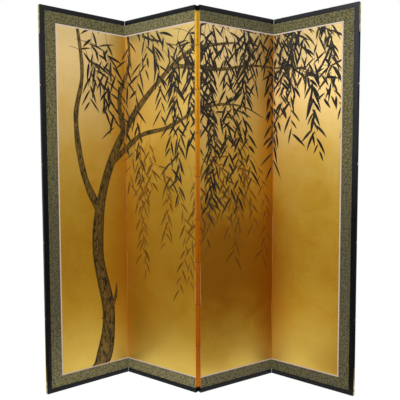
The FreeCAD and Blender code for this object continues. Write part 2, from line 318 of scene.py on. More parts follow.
def gold_leaf(plane, settings):
    """Gold leaf on paper: laid in squares, rubbed down and varnished thin.

    It is a metal with a satin, slightly cloudy face, whose tone changes a little from square to
    square. Towards the top it is painted paler, as a highlight of the bright light above, more so
    on some panels. By the folds that lie back it is painted warmer and darker, as the shade and
    reflected light of the valley, all the way up on the left of the fold and low down on its
    right. The very top is darker, the third panel is browner and darker below the middle, and the
    foot is dusty. Inside the folds there is no varnish: there the leaf is fresh and bright, more
    orange where hands reach, with a dark line where one hinge strip ends and the next begins. At
    the middle fold the leaf has worn off the corner of the paper, beside every second strip, and
    shows a pale line."""
    material, add = new_material(f"gold_leaf_{plane.body}")
    face = panel_face(add, plane)
    place = add("SeparateXYZ", {"Vector": face}).outputs
    squares = add("TexBrick", {
        "Vector": face, "Color1": (0, 0, 0, 1), "Color2": (1, 1, 1, 1), "Mortar": (0.5, 0.5, 0.5, 1),
        "Scale": 1, "Mortar Size": settings.leaf_overlap / 2, "Mortar Smooth": 1,
        "Brick Width": settings.leaf_side, "Row Height": settings.leaf_side,
    }, offset=0)
    clouds = add("TexNoise", {"Vector": face, "Scale": 1 / (150 * MM), "Detail": 3, "Distortion": 0.6})
    mottle = add("TexNoise", {"Vector": face, "Scale": 1 / (18 * MM), "Detail": 4, "Roughness": 0.6})
    tone = 0.0
    for cause, strength in ((squares, 0.14), (clouds, 1.1), (mottle, 0.4)):
        tone = add("Math", (cause, strength, tone), operation="MULTIPLY_ADD")
    tone = add("MapRange", (tone, 0.55, 1.1))

    # Painted highlight towards the top, and painted warm shade by the folds that lie back
    painted_highlight = add("Math", (clouds, HIGHLIGHT_CLOUDS, place["Y"]), operation="MULTIPLY_ADD")
    painted_highlight = add("MapRange", (
        painted_highlight, settings.highlight_from + HIGHLIGHT_CLOUDS / 2, plane.height + HIGHLIGHT_CLOUDS / 2, 0,
        settings.highlight_shares[plane.number - 1],
    ), interpolation_type="SMOOTHSTEP")
    right_of_valley = plane in (planes[2], planes[4])
    valley = 0.0 if right_of_valley else plane.width
    inner = settings.valley_reach if right_of_valley else plane.width - settings.valley_reach
    valley_shade = add("MapRange", (
        place["X"], valley, inner, settings.valley_shade_shares[plane.number - 1], 0,
    ), interpolation_type="SMOOTHSTEP")
    if right_of_valley:
        low = add("MapRange", (place["Y"], *VALLEY_SHADE_HEIGHTS), interpolation_type="SMOOTHSTEP")
        valley_shade = add("Math", (valley_shade, low), operation="MULTIPLY")
    else:
        away = add("MapRange", (place["X"], valley, inner), interpolation_type="SMOOTHSTEP")
        painted_highlight = add("Math", (painted_highlight, away), operation="MULTIPLY")

    # Browner below the middle, darker at the very top, dusty, and a line where two leaves lap
    off_lower_brown = apart(add, place["Y"], settings.lower_brown_height)
    off_lower_brown = add("Math", (clouds, LOWER_BROWN_CLOUDS, off_lower_brown), operation="MULTIPLY_ADD")
    lower_browned = add("MapRange", (
        off_lower_brown, settings.lower_brown_reach + LOWER_BROWN_CLOUDS / 2,
        settings.lower_brown_reach / 4 + LOWER_BROWN_CLOUDS / 2, 0, settings.lower_brown_shares[plane.number - 1],
    ), interpolation_type="SMOOTHSTEP")
    top_darkened = add("MapRange", (
        place["Y"], plane.height - settings.top_dark_depths[plane.number - 1], plane.height - TOP_DARK_DEPTH, 0,
        settings.top_dark_shares[plane.number - 1],
    ), interpolation_type="SMOOTHSTEP")
    dusty = add("MapRange", (
        place["Y"], DUST_HEIGHT, field_margin, 0, 0.5,
    ), interpolation_type="SMOOTHSTEP")
    lapped = add("Math", (squares.outputs["Fac"], 0.15), operation="MULTIPLY")
    colour = add("Mix", (tone, settings.deep, settings.pale))
    coats = (
        (valley_shade, settings.crease), (painted_highlight, settings.painted_highlight_colour), (lower_browned, settings.lower_brown_colour),
        (top_darkened, settings.top_dark_colour), (dusty, settings.dust), (lapped, settings.seam),
    )
    for share, coat in coats:
        colour = add("Mix", (share, colour, coat))

    # Inside the folds
    strip_number = add("Math", (place["Y"], seam_heights[1] - strip_height), operation="SUBTRACT")
    strip_number = add("Math", (strip_number, strip_height), operation="DIVIDE")
    from_end = add("Math", (strip_number, 0.5), operation="PINGPONG")
    dirt = add("MapRange", (
        from_end, STRIP_END_REACHES[0] / strip_height, STRIP_END_REACHES[1] / strip_height, 0, 0.7,
    ))
    dusty_inside = add("Math", (dusty, dusty), operation="MULTIPLY")
    dirt = add("Math", (dirt, dusty_inside), operation="MAXIMUM")
    out_of_reach = add("MapRange", (place["Y"], settings.handled_to, plane.height))
    # Darker towards the very top inside the folds too
    top_darkened_inside = add("MapRange", (
        place["Y"], plane.height - FOLD_TOP_DARK_DEPTH, plane.height, 0, 0.3,
    ), interpolation_type="SMOOTHSTEP")
    inside = settings.handled
    coats = ((out_of_reach, settings.fresh), (top_darkened_inside, settings.top_dark_colour), (dirt, settings.strip_end))
    for share, coat in coats:
        inside = add("Mix", (share, inside, coat))
    on_front = add("Math", (place["Z"], -2 * plane.gold_depth), operation="GREATER_THAN")
    colour = add("Mix", (on_front, inside, colour))

    metallic = 1
    if plane in (planes[2], planes[3]):
        worn = worn_corner(add, plane, place, strip_number, mottle, settings)
        worn = add("Math", (worn, on_front), operation="MULTIPLY")
        patchy = add("MapRange", (clouds, 0.35, 0.55, 0.4))
        worn = add("Math", (worn, patchy), operation="MULTIPLY")
        colour = add("Mix", (worn, colour, settings.bare_paper))
        metallic = add("Math", (1, worn), operation="SUBTRACT")
    swell = add("TexNoise", {"Vector": face, "Scale": 1 / (90 * MM), "Detail": 1})
    fibres = add("TexNoise", {"Vector": face, "Scale": 1 / (2.2 * MM), "Detail": 2, "Roughness": 0.7})
    bump = add("Bump", {"Height": swell, "Distance": 0.6 * MM})
    bump = add("Bump", {"Height": fibres, "Distance": 0.04 * MM, "Normal": bump})
    roughness = add("MapRange", (mottle, 0.3, 0.7, settings.roughness - 0.04, settings.roughness + 0.04))
    finish_with(add, {
        "Base Color": colour, "Metallic": metallic, "Roughness": roughness, "Normal": bump,
        "Coat Weight": settings.varnish, "Coat Roughness": 0.3,
    })
    return material


def worn_corner(add, plane, place, strip_number, ragged, settings):
    """How far the leaf has worn off beside every second hinge strip, along the middle fold.

    The worn line lies within a few millimetres of the panel's edge at that fold, and its inner
    side is ragged."""
    from_fold = place["X"]
    if plane is planes[2]:
        from_fold = add("Math", (plane.width, place["X"]), operation="SUBTRACT")
    from_fold = add("Math", (ragged, 3 * MM, from_fold), operation="MULTIPLY_ADD")
    near = add("MapRange", (
        from_fold, 1.5 * MM + settings.worn_width, 0.7 * MM + settings.worn_width, 0, 0.7,
    ))
    half = add("Math", (strip_number, 0.5), operation="MULTIPLY")
    half = add("Math", (half,), operation="FRACT")
    every_second = add("Math", (half, 0.5), operation="LESS_THAN")
    return add("Math", (near, every_second), operation="MULTIPLY")


def creased_leaf(settings):
    """Gold paper folded into the crease of a fold: deep orange, from pooled varnish and painted shade.

    It is a satin metal, a little blotchy, and its fine wrinkles run round the crease."""
    material, add = new_material("creased_gold_leaf")
    where = add("TexCoord", {}).outputs["Object"]
    blotches = add("TexNoise", {"Vector": where, "Scale": 1 / (20 * MM), "Detail": 3})
    colour = add("Mix", (blotches, settings.crease, settings.handled))
    wrinkles = add("Mapping", {"Vector": where, "Scale": (1 / (6 * MM), 1 / (6 * MM), 1 / (1.2 * MM))})
    wrinkles = add("TexNoise", {"Vector": wrinkles, "Scale": 1, "Detail": 1})
    bump = add("Bump", {"Height": wrinkles, "Distance": 0.1 * MM})
    finish_with(add, {"Base Color": colour, "Metallic": 1, "Roughness": 0.5, "Normal": bump})
    return material


def valley_crease(gold, brocade, papers):
    """The hinge paper of a fold that lies back, faced like the panels to either side of it.

    It is satin gold leaf in the gold field and pale silk beside the fillet. Across the border it
    is rubbed brocade, paler than the rest, and between the ends of the frame's strips it is grey
    bare paper."""
    material, add = new_material("valley_crease")
    where = add("TexCoord", {}).outputs["Object"]
    height = add("SeparateXYZ", {"Vector": where}).outputs["Z"]
    from_top = add("Math", (screen_height, height), operation="SUBTRACT")
    inset = add("Math", (height, from_top), operation="MINIMUM")
    mottle = add("TexNoise", {"Vector": where, "Scale": 1 / (7 * MM), "Detail": 3})
    cloth = add("Mix", (mottle, brocade.faded_ground, brocade.rubbed))
    # The leaf takes the deep orange crease colour, which is painted shade of the crease
    leaf = add("Mix", (mottle, gold.crease, gold.handled))
    colour = papers.bare_edge
    for edge, facing in ((frame_inner, cloth), (brocade_inner, papers.fillet), (field_margin, leaf)):
        past_edge = add("Math", (inset, edge), operation="GREATER_THAN")
        colour = add("Mix", (past_edge, colour, facing))
    in_field = past_edge
    roughness = add("MapRange", (in_field, 0, 1, 0.8, 0.55))
    bump = add("Bump", {"Height": mottle, "Distance": 0.1 * MM})
    finish_with(add, {
        "Base Color": colour, "Metallic": in_field, "Roughness": roughness, "Normal": bump,
        "Specular Tint": gold.crease,
    })
    return material


def black_lacquer(plane, settings):
    """Black lacquer brushed on wood and rubbed to a soft gloss.

    It is nearly black with a cold cast, mirrors weakly, and ripples where the brush ran. Down by
    the floor it is scuffed and duller. Higher up, by the outer sides, its front is painted with a
    grey sheen for the light from above, and those sides themselves are rubbed matt. Both are
    stronger on the right."""
    material, add = new_material(f"black_lacquer_{plane.body}")
    face = panel_face(add, plane)
    place = add("SeparateXYZ", {"Vector": face}).outputs
    on_front = add("MapRange", (place["Z"], -1.6 * MM, -1 * MM))
    clouds = add("TexNoise", {"Vector": face, "Scale": 1 / (45 * MM), "Detail": 3})
    scuffs = add("Mapping", {
        "Vector": face, "Rotation": (0, 0, 0.6), "Scale": (1 / (20 * MM), 1 / (1.5 * MM), 1 / (5 * MM)),
    })
    scuffs = add("TexNoise", {"Vector": scuffs, "Scale": 1, "Detail": 3})
    scuffs = add("MapRange", (scuffs, 0.6, 0.72))
    low = add("MapRange", (place["Y"], *SCUFF_HEIGHTS, 0.12, 0.8), interpolation_type="SMOOTHSTEP")
    scuffs = add("Math", (scuffs, low), operation="MULTIPLY")
    colour = add("Mix", (clouds, settings.deep, settings.worn))
    colour = add("Mix", (scuffs, colour, settings.scuffed))
    # A grey sheen painted on the front, higher up and by the outer sides, for the light from above
    painted_sheen = add("MapRange", (
        place["Y"], settings.sheen_from, settings.sheen_from + SHEEN_RISE, 0,
        settings.sheen_shares[plane.number - 1],
    ), interpolation_type="SMOOTHSTEP")
    off_side = apart(add, place["X"], plane.width if plane is planes[4] else 0.0)
    by_side = add("MapRange", (off_side, *SHEEN_WIDTHS))
    for limit in (by_side, on_front):
        painted_sheen = add("Math", (painted_sheen, limit), operation="MULTIPLY")
    colour = add("Mix", (painted_sheen, colour, settings.painted_sheen_grey))
    gloss = add("MapRange", (
        on_front, 0, 1, settings.side_gloss[plane.number - 1], settings.front_gloss[plane.number - 1],
    ))
    ripple = add("TexNoise", {"Vector": face, "Scale": 1 / (14 * MM), "Detail": 2})
    bump = add("Bump", {"Height": ripple, "Distance": 0.05 * MM})
    bump = add("Bump", {"Height": scuffs, "Distance": -0.02 * MM, "Normal": bump})
    roughness = add("MapRange", (clouds, 0.3, 0.7, 0.24, 0.34))
    roughness = add("Math", (scuffs, 0.3, roughness), operation="MULTIPLY_ADD")
    finish_with(add, {
        "Base Color": colour, "Roughness": roughness, "Normal": bump, "Specular IOR Level": gloss,
    })
    return material


def olive_brocade(plane, settings):
    """Olive silk brocade: six-petalled flowers, leaves and thin stems in a light, shiny weft on
    a matt, darker ground with diagonal ribs.

    The flowers stand 17 mm apart, and their silk is olive in places and grey in others. The ribs
    are drawn a centimetre apart, since the real threads are too fine to show. The cloth is dirty
    where hands reach it, and has a painted shadow line where it meets the fillet. Along the top and
    the foot each panel is painted lighter or darker, as the light falls on it, and towards the foot
    it is greyer."""
    material, add = new_material(f"olive_brocade_{plane.body}")
    face = panel_face(add, plane)
    place = add("SeparateXYZ", {"Vector": face}).outputs
    flat = add("VectorMath", (face, (1, 1, 0)), operation="MULTIPLY")

    # The flowers
    wobble = add("TexNoise", {"Vector": flat, "Scale": 1 / (9 * MM), "Detail": 1})
    cells = add("TexVoronoi", {
        "Vector": flat, "Scale": 1 / settings.flower_spacing, "Randomness": 0.65,
    }, voronoi_dimensions="2D")
    spoke = add("VectorMath", (flat, cells.outputs["Position"]), operation="SUBTRACT")
    radius = add("VectorMath", (spoke,), operation="LENGTH")
    spoke = add("SeparateXYZ", {"Vector": spoke}).outputs
    turn = add("Math", (spoke["Y"], spoke["X"]), operation="ARCTAN2")
    turn = add("Math", (turn, PETALS, wobble), operation="MULTIPLY_ADD")
    lobes = add("Math", (turn,), operation="COSINE")
    reach = add("MapRange", (
        lobes, -1, 1, 0.16 * settings.flower_spacing, 0.36 * settings.flower_spacing,
    ))
    short = add("Math", (reach, radius), operation="SUBTRACT")
    flower = add("MapRange", (short, 0, 0.8 * MM, 0, 1))
    heart = add("MapRange", (radius, 1.6 * MM, 2.4 * MM, 0.6, 0))
    flower = add("Math", (flower, heart), operation="SUBTRACT")

    # The stems and leaves
    stems = add("TexNoise", {"Vector": flat, "Scale": 1 / (14 * MM), "Detail": 0, "Distortion": 1.4})
    stems = add("MapRange", (apart(add, stems, 0.5), 0.03, 0.018))
    leaves = add("Mapping", {
        "Vector": flat, "Rotation": (0, 0, 0.7), "Scale": (1 / (9 * MM), 1 / (4 * MM), 1),
    })
    leaves = add("TexVoronoi", {"Vector": leaves, "Scale": 1}, voronoi_dimensions="2D")
    leaves = add("MapRange", (leaves, 0.36, 0.28))
    figure = add("Math", (stems, leaves), operation="MAXIMUM")
    figure = add("Math", (figure, flower), operation="MAXIMUM")

    # The silks and the dirt on them
    faded = add("TexNoise", {"Vector": flat, "Scale": 1 / (80 * MM), "Detail": 2})
    colour = add("Mix", (faded, settings.ground, settings.faded_ground))
    dyed = add("TexNoise", {"Vector": flat, "Scale": 1 / (11 * MM), "Detail": 1})
    dyed = add("MapRange", (dyed, 0.38, 0.62))
    silk = add("Mix", (dyed, settings.figure, settings.grey_figure))
    colour = add("Mix", (figure, colour, silk))
    off_hand = apart(add, place["Y"], settings.handled_height)
    handled = add("MapRange", (off_hand, *HANDLED_REACHES, 0, 0.5), interpolation_type="SMOOTHSTEP")
    colour = add("Mix", (handled, colour, settings.dirt))

    # The shading of the ribs, the painted shadow line at the fillet, and the light and shade painted
    # along the foot and the top
    ribs = add("TexWave", {
        "Vector": flat, "Scale": DIAGONAL_WAVE / settings.rib_spacing, "Distortion": 0.6,
        "Detail Scale": 3,
    }, bands_direction="DIAGONAL")
    shade = add("MapRange", (ribs, 0, 1, 0.85, 1.1))
    from_top = add("Math", (plane.height, place["Y"]), operation="SUBTRACT")
    inset = add("Math", (place["Y"], from_top), operation="MINIMUM")
    if plane is planes[1]:
        inset = add("Math", (inset, place["X"]), operation="MINIMUM")
    if plane is planes[4]:
        from_right = add("Math", (plane.width, place["X"]), operation="SUBTRACT")
        inset = add("Math", (inset, from_right), operation="MINIMUM")
    # A painted shadow line along the cloth's inner edge, where it meets the fillet
    painted_fillet_shadow = add("MapRange", (
        inset, brocade_inner - FILLET_SHADOW_EDGE[0], brocade_inner - FILLET_SHADOW_EDGE[1], 1, 0.35,
    ))
    # Light and shade painted along the foot and the top of each panel, as the light falls on it
    foot = add("MapRange", (place["Y"], *FOOT_SHADE_HEIGHTS, 1, settings.foot_painted_light[plane.number - 1]))
    top = add("MapRange", (from_top, *TOP_SHADE_DEPTHS, 1, settings.top_painted_light[plane.number - 1]))
    for cause in (painted_fillet_shadow, foot, top):
        shade = add("Math", (shade, cause), operation="MULTIPLY")
    greyed = add("MapRange", (place["Y"], *FOOT_GREY_HEIGHTS))
    greyed = add("Mix", (greyed, "#FFFFFF", settings.foot_tint))
    colour = add("VectorMath", (colour, greyed), operation="MULTIPLY")
    colour = add("VectorMath", (colour, shade), operation="SCALE")
    bump = add("Bump", {"Height": figure, "Distance": 0.12 * MM})
    bump = add("Bump", {"Height": ribs, "Distance": 0.1 * MM, "Normal": bump})
    roughness = add("MapRange", (figure, 0, 1, 0.85, 0.5))
    finish_with(add, {
        "Base Color": colour, "Roughness": roughness, "Normal": bump, "Sheen Weight": 0.15,
        "Sheen Roughness": 0.5, "Specular IOR Level": 0.3,
    })
    return material


def pale_fillet(plane, settings):
    """A narrow strip faced with pale, pinkish twilled silk.

    The lines of the twill are drawn 5 mm apart, since the real ones are too fine to show, and
    the silk has yellowed in places."""
    material, add = new_material(f"pale_silk_{plane.body}")
    face = panel_face(add, plane)
    yellowed = add("TexNoise", {"Vector": face, "Scale": 1 / (35 * MM), "Detail": 3})
    yellowed = add("MapRange", (yellowed, 0.4, 0.8))
    colour = add("Mix", (yellowed, settings.fillet, settings.yellowed_fillet))
    twill = add("TexWave", {
        "Vector": face, "Scale": DIAGONAL_WAVE / (5.3315 * MM), "Distortion": 0.4,
    }, bands_direction="DIAGONAL")
    bump = add("Bump", {"Height": twill, "Distance": 0.06 * MM})
    finish_with(add, {"Base Color": colour, "Roughness": 0.6, "Normal": bump, "Sheen Weight": 0.1})
    return material


def cover_paper(plane, settings):
    """Dark brown paper, pasted over the back in sheets that lap over each other.

    It is matt, with long pale fibres in it, a lighter line where the sheets lap, and clouds
    where the paste was thick. It is rubbed pale along its edges."""
    material, add = new_material(f"brown_paper_{plane.body}")
    face = panel_face(add, plane)
    place = add("SeparateXYZ", {"Vector": face}).outputs
    clouds = add("TexNoise", {"Vector": face, "Scale": 1 / (120 * MM), "Detail": 4})
    clouds = add("MapRange", (clouds, 0.35, 0.7))
    colour = add("Mix", (clouds, settings.cover, settings.pasted_cover))
    bend = add("TexNoise", {"Vector": face, "Scale": 1 / (25 * MM), "Detail": 0})
    strands = add("VectorMath", (bend.outputs["Color"], (20 * MM,) * 3, face), operation="MULTIPLY_ADD")
    strands = add("Mapping", {
        "Vector": strands, "Rotation": (0, 0, 0.9), "Scale": (1 / (30 * MM), 1 / (2.5 * MM), 0),
    })
    strands = add("TexNoise", {"Vector": strands, "Scale": 1, "Detail": 2})
    strands = add("MapRange", (strands, 0.66, 0.74, 0, 0.5))
    colour = add("Mix", (strands, colour, settings.fibre))
    sheet = add("Math", (place["Y"], settings.sheet_height), operation="FLOORED_MODULO")
    lap = add("MapRange", (sheet, 9 * MM, 8 * MM, 0, 0.35))
    side = add("Math", (plane.width, place["X"]), operation="SUBTRACT")
    side = add("Math", (side, place["X"]), operation="MINIMUM")
    side = add("Math", (bend, 6 * MM, side), operation="MULTIPLY_ADD")
    rubbed = add("MapRange", (side, 7 * MM, 3 * MM, 0, 0.5))
    paler = add("Math", (lap, rubbed), operation="MAXIMUM")
    colour = add("Mix", (paler, colour, settings.rubbed_cover))
    bump = add("Bump", {"Height": clouds, "Distance": 0.4 * MM})
    bump = add("Bump", {"Height": strands, "Distance": 0.06 * MM, "Normal": bump})
    bump = add("Bump", {"Height": lap, "Distance": 0.2 * MM, "Normal": bump})
    finish_with(add, {"Base Color": colour, "Roughness": 0.8, "Normal": bump})
    return material


def backing_paper(plane, settings):
    """Layers of plain hand-made paper pasted over the core: cream, matt and clouded by its pulp."""
    material, add = new_material(f"backing_paper_{plane.body}")
    face = panel_face(add, plane)
    pulp = add("TexNoise", {"Vector": face, "Scale": 1 / (8 * MM), "Detail": 5, "Roughness": 0.65})
    colour = add("Mix", (pulp, settings.backing, settings.thin_backing))
    bump = add("Bump", {"Height": pulp, "Distance": 0.1 * MM})
    finish_with(add, {"Base Color": colour, "Roughness": 0.9, "Normal": bump})
    return material


def planed_wood(plane, settings):
    """Planed cedar, sawn flat along the grain: pale, with darker bands of late wood that wander
    about two centimetres apart, and a satin sheen from the plane."""
    material, add = new_material(f"planed_cedar_{plane.body}")
    face = panel_face(add, plane)
    drawn = add("Mapping", {"Vector": face, "Scale": (1, 0.06, 1)})
    rings = add("TexWave", {
        "Vector": drawn, "Scale": STRAIGHT_WAVE / (21.991 * MM), "Distortion": 4, "Detail": 2,
        "Detail Scale": 1,
    }, wave_profile="SAW")
    colour = add("Mix", (rings, settings.wood, settings.late_wood))
    bump = add("Bump", {"Height": rings, "Distance": 0.05 * MM})
    finish_with(add, {"Base Color": colour, "Roughness": 0.6, "Normal": bump})
    return material


def aged_brass(name, rubbed, patina):
    """Brass that was polished once and has aged.

    It is yellow where hands rub it, and duller in patches of patina, with fine scratches. The
    rubbed and patina colours say how far it has aged."""
    material, add = new_material(name)
    where = add("TexCoord", {}).outputs["Object"]
    aged = add("TexNoise", {"Vector": where, "Scale": 1 / (14 * MM), "Detail": 4, "Roughness": 0.6})
    aged = add("MapRange", (aged, 0.38, 0.62))
    scratches = add("Mapping", {
        "Vector": where, "Rotation": (0.3, 0.2, 0),
        "Scale": (1 / (0.8 * MM), 1 / (0.8 * MM), 1 / (15 * MM)),
    })
    scratches = add("TexNoise", {"Vector": scratches, "Scale": 1, "Detail": 2})
    colour = add("Mix", (aged, rubbed, patina))
    roughness = add("MapRange", (aged, 0, 1, 0.3, 0.5))
    bump = add("Bump", {"Height": scratches, "Distance": 0.02 * MM})
    finish_with(add, {"Base Color": colour, "Metallic": 1, "Roughness": roughness, "Normal": bump})
    return material


def brushed_ink(settings):
    """Ink brushed on gold leaf: near black and a little glossy where the brush was full, and brown
    and streaked along the stroke where it ran dry."""
    material, add = new_material("brushed_ink")
    tone = add("Attribute", {}, attribute_name="dryness").outputs["Fac"]
    along = add("TexCoord", {}).outputs["UV"]
    streaks = add("Mapping", {"Vector": along, "Scale": (3, 14, 1)})
    streaks = add("TexNoise", {"Vector": streaks, "Scale": 1, "Detail": 2})
    dry = add("Math", (streaks, tone), operation="MULTIPLY")
    colour = add("Mix", (dry, settings.ink, settings.dry_ink))
    finish_with(add, {"Base Color": colour, "Roughness": 0.55, "Specular IOR Level": 0.3})
    return material


def ink_wash(settings):
    """Thinned ink over gold leaf, which shows through: dark along the edges of the stroke, where
    the wash dried last, and mottled with dry-brushed bark between them."""
    material, add = new_material("ink_wash")
    where = add("TexCoord", {})
    across = add("SeparateXYZ", {"Vector": where.outputs["UV"]}).outputs["Y"]
    off_centre = apart(add, across, 0.5)
    edge = add("MapRange", (off_centre, 0.12, 0.46), interpolation_type="SMOOTHSTEP")
    bark = add("Mapping", {
        "Vector": where.outputs["Object"], "Scale": (1 / (9 * MM), 1 / (9 * MM), 1 / (30 * MM)),
    })
    bark = add("TexNoise", {"Vector": bark, "Scale": 1, "Detail": 4, "Distortion": 1})
    bark = add("MapRange", (bark, 0.42, 0.62))
    ink = add("Math", (edge, bark), operation="MAXIMUM")
    colour = add("Mix", (ink, settings.wash, settings.wash_edge))
    finish_with(add, {"Base Color": colour, "Metallic": 0.6, "Roughness": 0.5})
    return material


def brown_wash(settings):
    """A thin brown wash over gold leaf, for foliage far off. The gold shows through it."""
    material, add = new_material("brown_wash")
    tone = add("Attribute", {}, attribute_name="dryness").outputs["Fac"]
    colour = add("Mix", (tone, settings.far_foliage, settings.far_foliage_pale))
    finish_with(add, {"Base Color": colour, "Metallic": 0.8, "Roughness": 0.5})
    return material


# Brush strokes

def brush_strokes(name, plane, strokes, crest, material):
    """Adds the parts of the brush strokes that fall on one panel, as one thin mesh.

    Each stroke is a closed shell round its path, with four points in each of its rings: the left
    rim, the crest, the right rim and the back. A rim stands half the stroke's width from the
    path, square to it. The rims and the back are sunk in the gold, and the crest stands proud of
    it. Points past the panel's gold field are brought back to its edge, which cuts the stroke
    off there."""
    edges = (
        field_margin if plane is planes[1] else 0.0,
        plane.width - field_margin if plane is planes[4] else plane.width,
    )
    vertices, faces, uvs, dryness = [], [], [], []
    count = 0
    for path, half_width, dry in strokes:
        u = path[..., 0] - plane.unfolded_from
        inside = (u.max(axis=1) > edges[0]) & (u.min(axis=1) < edges[1])
        if not inside.any():
            continue
        path, half_width, dry, u = path[inside], half_width[inside], dry[inside], u[inside]
        strokes_here, steps = u.shape
        run = np.gradient(path, axis=1)
        run /= np.linalg.norm(run, axis=2, keepdims=True)
        to_side = np.array([1.0, 0.0, -1.0, 0.0])
        u = u[..., None] - run[..., 1:] * half_width[..., None] * to_side
        z = path[..., 1:] + run[..., :1] * half_width[..., None] * to_side
        body = np.minimum(1, half_width / FULL_HALF_WIDTH)[..., None]
        depth = plane.gold_depth + body * np.array([SUNK, -crest, SUNK, 2 * SUNK])
        u = np.clip(u, edges[0] + EDGE_ROOM, edges[1] - EDGE_ROOM)
        z = np.clip(z, field_margin + EDGE_ROOM, plane.height - field_margin - EDGE_ROOM)
        vertices.append(plane.place(u, depth, z).reshape(-1, 3))
        ring = np.arange(strokes_here * steps * 4).reshape(strokes_here, steps, 4) + count
        after = np.roll(ring, -1, axis=2)
        quads = np.stack([ring[:, :-1], after[:, :-1], after[:, 1:], ring[:, 1:]], axis=-1)
        faces.append(quads.reshape(-1, 4))
        t = np.broadcast_to(np.linspace(0, 1, steps)[None, :, None], ring.shape)
        across = np.broadcast_to(0.5 - 0.5 * to_side, ring.shape)
        uvs.append(np.stack([t, across], axis=-1).reshape(-1, 2))
        dryness.append(np.broadcast_to(dry[:, None, None], ring.shape).ravel())
        count += ring.size
    if not vertices:
        return
    mesh = bpy.data.meshes.new(name)
    faces = np.concatenate(faces)
    mesh.from_pydata(np.concatenate(vertices), [], faces)
    layer = mesh.uv_layers.new(name="stroke")
    layer.data.foreach_set("uv", np.concatenate(uvs)[faces.ravel()].ravel())
    tone = mesh.attributes.new("dryness", "FLOAT", "POINT")
    tone.data.foreach_set("value", np.concatenate(dryness).astype(np.float32))
    weld(mesh)
    mesh.materials.append(material)
    made = new_object(name, mesh)
    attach(made, plane.body)


def limb(points, base_width, tip_width, knots=60):
    """A trunk or a limb: a smooth path through its points, whose width falls from base to tip.

    The path is a Catmull-Rom spline, and the width wavers by a tenth, as bark does."""
    points = np.array(points)
    ends = np.concatenate([2 * points[:1] - points[1:2], points, 2 * points[-1:] - points[-2:-1]])
    at = np.linspace(0, len(points) - 1, knots)
    span = np.minimum(at.astype(int), len(points) - 2)
    t = (at - span)[:, None]
    before, start, end, after = (ends[span + i] for i in range(4))
    path = 0.5 * (
        2 * start
        + (end - before) * t
        + (2 * before - 5 * start + 4 * end - after) * t**2
        + (3 * start - before - 3 * end + after) * t**3
    )
    share = np.linspace(0, 1, knots)
    width = base_width + (tip_width - base_width) * share**0.7
    waver = 1 + 0.1 * np.sin(37 * share + 60 * base_width) * np.sin(11 * share)
    half = 0.5 * width * waver
    half[-1] = 0
    return path[None], half[None], np.full(1, 0.5)


def withies(rng, starts, lengths, reaches, steps=26):
    """Hanging twigs, as paths from their limb: each rises a little, arches over and hangs.

    At a share t of the way, a twig has gone sideways by reach × (1 − (1 − t)³), with a slow
    sway, and up by rise × t less (length + rise) × t to the power 1.6."""
    count = len(starts)
    t = np.linspace(0, 1, steps)
    rise = rng.uniform(0.05, 0.3, (count, 1)) * lengths[:, None]
    sway = rng.uniform(-0.03, 0.03, (count, 1)) * np.sin(2.2 * np.pi * t + rng.uniform(0, 6, (count, 1)))
    s = starts[:, :1] + reaches[:, None] * (1 - (1 - t) ** 3) + sway * t
    z = starts[:, 1:] + rise * t - (lengths[:, None] + rise) * t**1.6
    return np.stack([s, z], axis=-1)


def twig_strokes(rng, twigs, width):
    """The thin strokes of the twigs themselves, drawn out to a point."""
    count, steps = twigs.shape[:2]
    share = np.linspace(0, 1, steps)
    half = 0.5 * width * (1 - 0.75 * share) * np.ones((count, 1))
    half[:, (0, -1)] = 0
    return twigs, half, rng.uniform(0, 0.6, count)


def leaf_strokes(rng, twigs, spacing, length, width, steps=9):
    """Slender leaves to either side of each twig, one brush stroke each.

    They leave the twig every spacing or so, in turn to the left and the right, and bend down.
    At a share t of its length, a leaf's width is its usual width × 3.16 × t to the power 0.7 ×
    (1 − t), which is greatest two fifths of the way along."""
    roots, directions = [], []
    for twig in twigs:
        runs = np.linalg.norm(np.diff(twig, axis=0), axis=1)
        gone = np.concatenate([[0], np.cumsum(runs)])
        at = np.arange(0.12 * gone[-1] + spacing * rng.uniform(), gone[-1], spacing)
        at += rng.uniform(-0.3, 0.3, len(at)) * spacing
        place, ahead, behind = (
            np.stack([np.interp(at + shift, gone, twig[:, i]) for i in range(2)], axis=-1)
            for shift in (0, spacing, -spacing)
        )
        heading = np.arctan2(ahead[:, 1] - behind[:, 1], ahead[:, 0] - behind[:, 0])
        side = np.where(np.arange(len(at)) % 2 == 0, 1, -1)
        heading += side * np.radians(rng.uniform(14, 52, len(at)))
        roots.append(place)
        directions.append(heading)
    roots, heading = np.concatenate(roots), np.concatenate(directions)
    count = len(roots)
    t = np.linspace(0, 1, steps)
    size = length * rng.uniform(0.55, 1.15, (count, 1))
    droop = rng.uniform(0.05, 0.3, (count, 1)) * np.cos(heading)[:, None]
    angle = heading[:, None] - droop * 2 * t
    step = size / (steps - 1)
    s = roots[:, :1] + np.cumsum(np.cos(angle) * step, axis=1) - np.cos(angle[:, :1]) * step
    z = roots[:, 1:] + np.cumsum(np.sin(angle) * step, axis=1) - np.sin(angle[:, :1]) * step
    half = 0.5 * width * rng.uniform(0.7, 1.15, (count, 1)) * 3.16 * t**0.7 * (1 - t)
    return np.stack([s, z], axis=-1), half, rng.uniform(0, 1, count) ** 2


# The folds

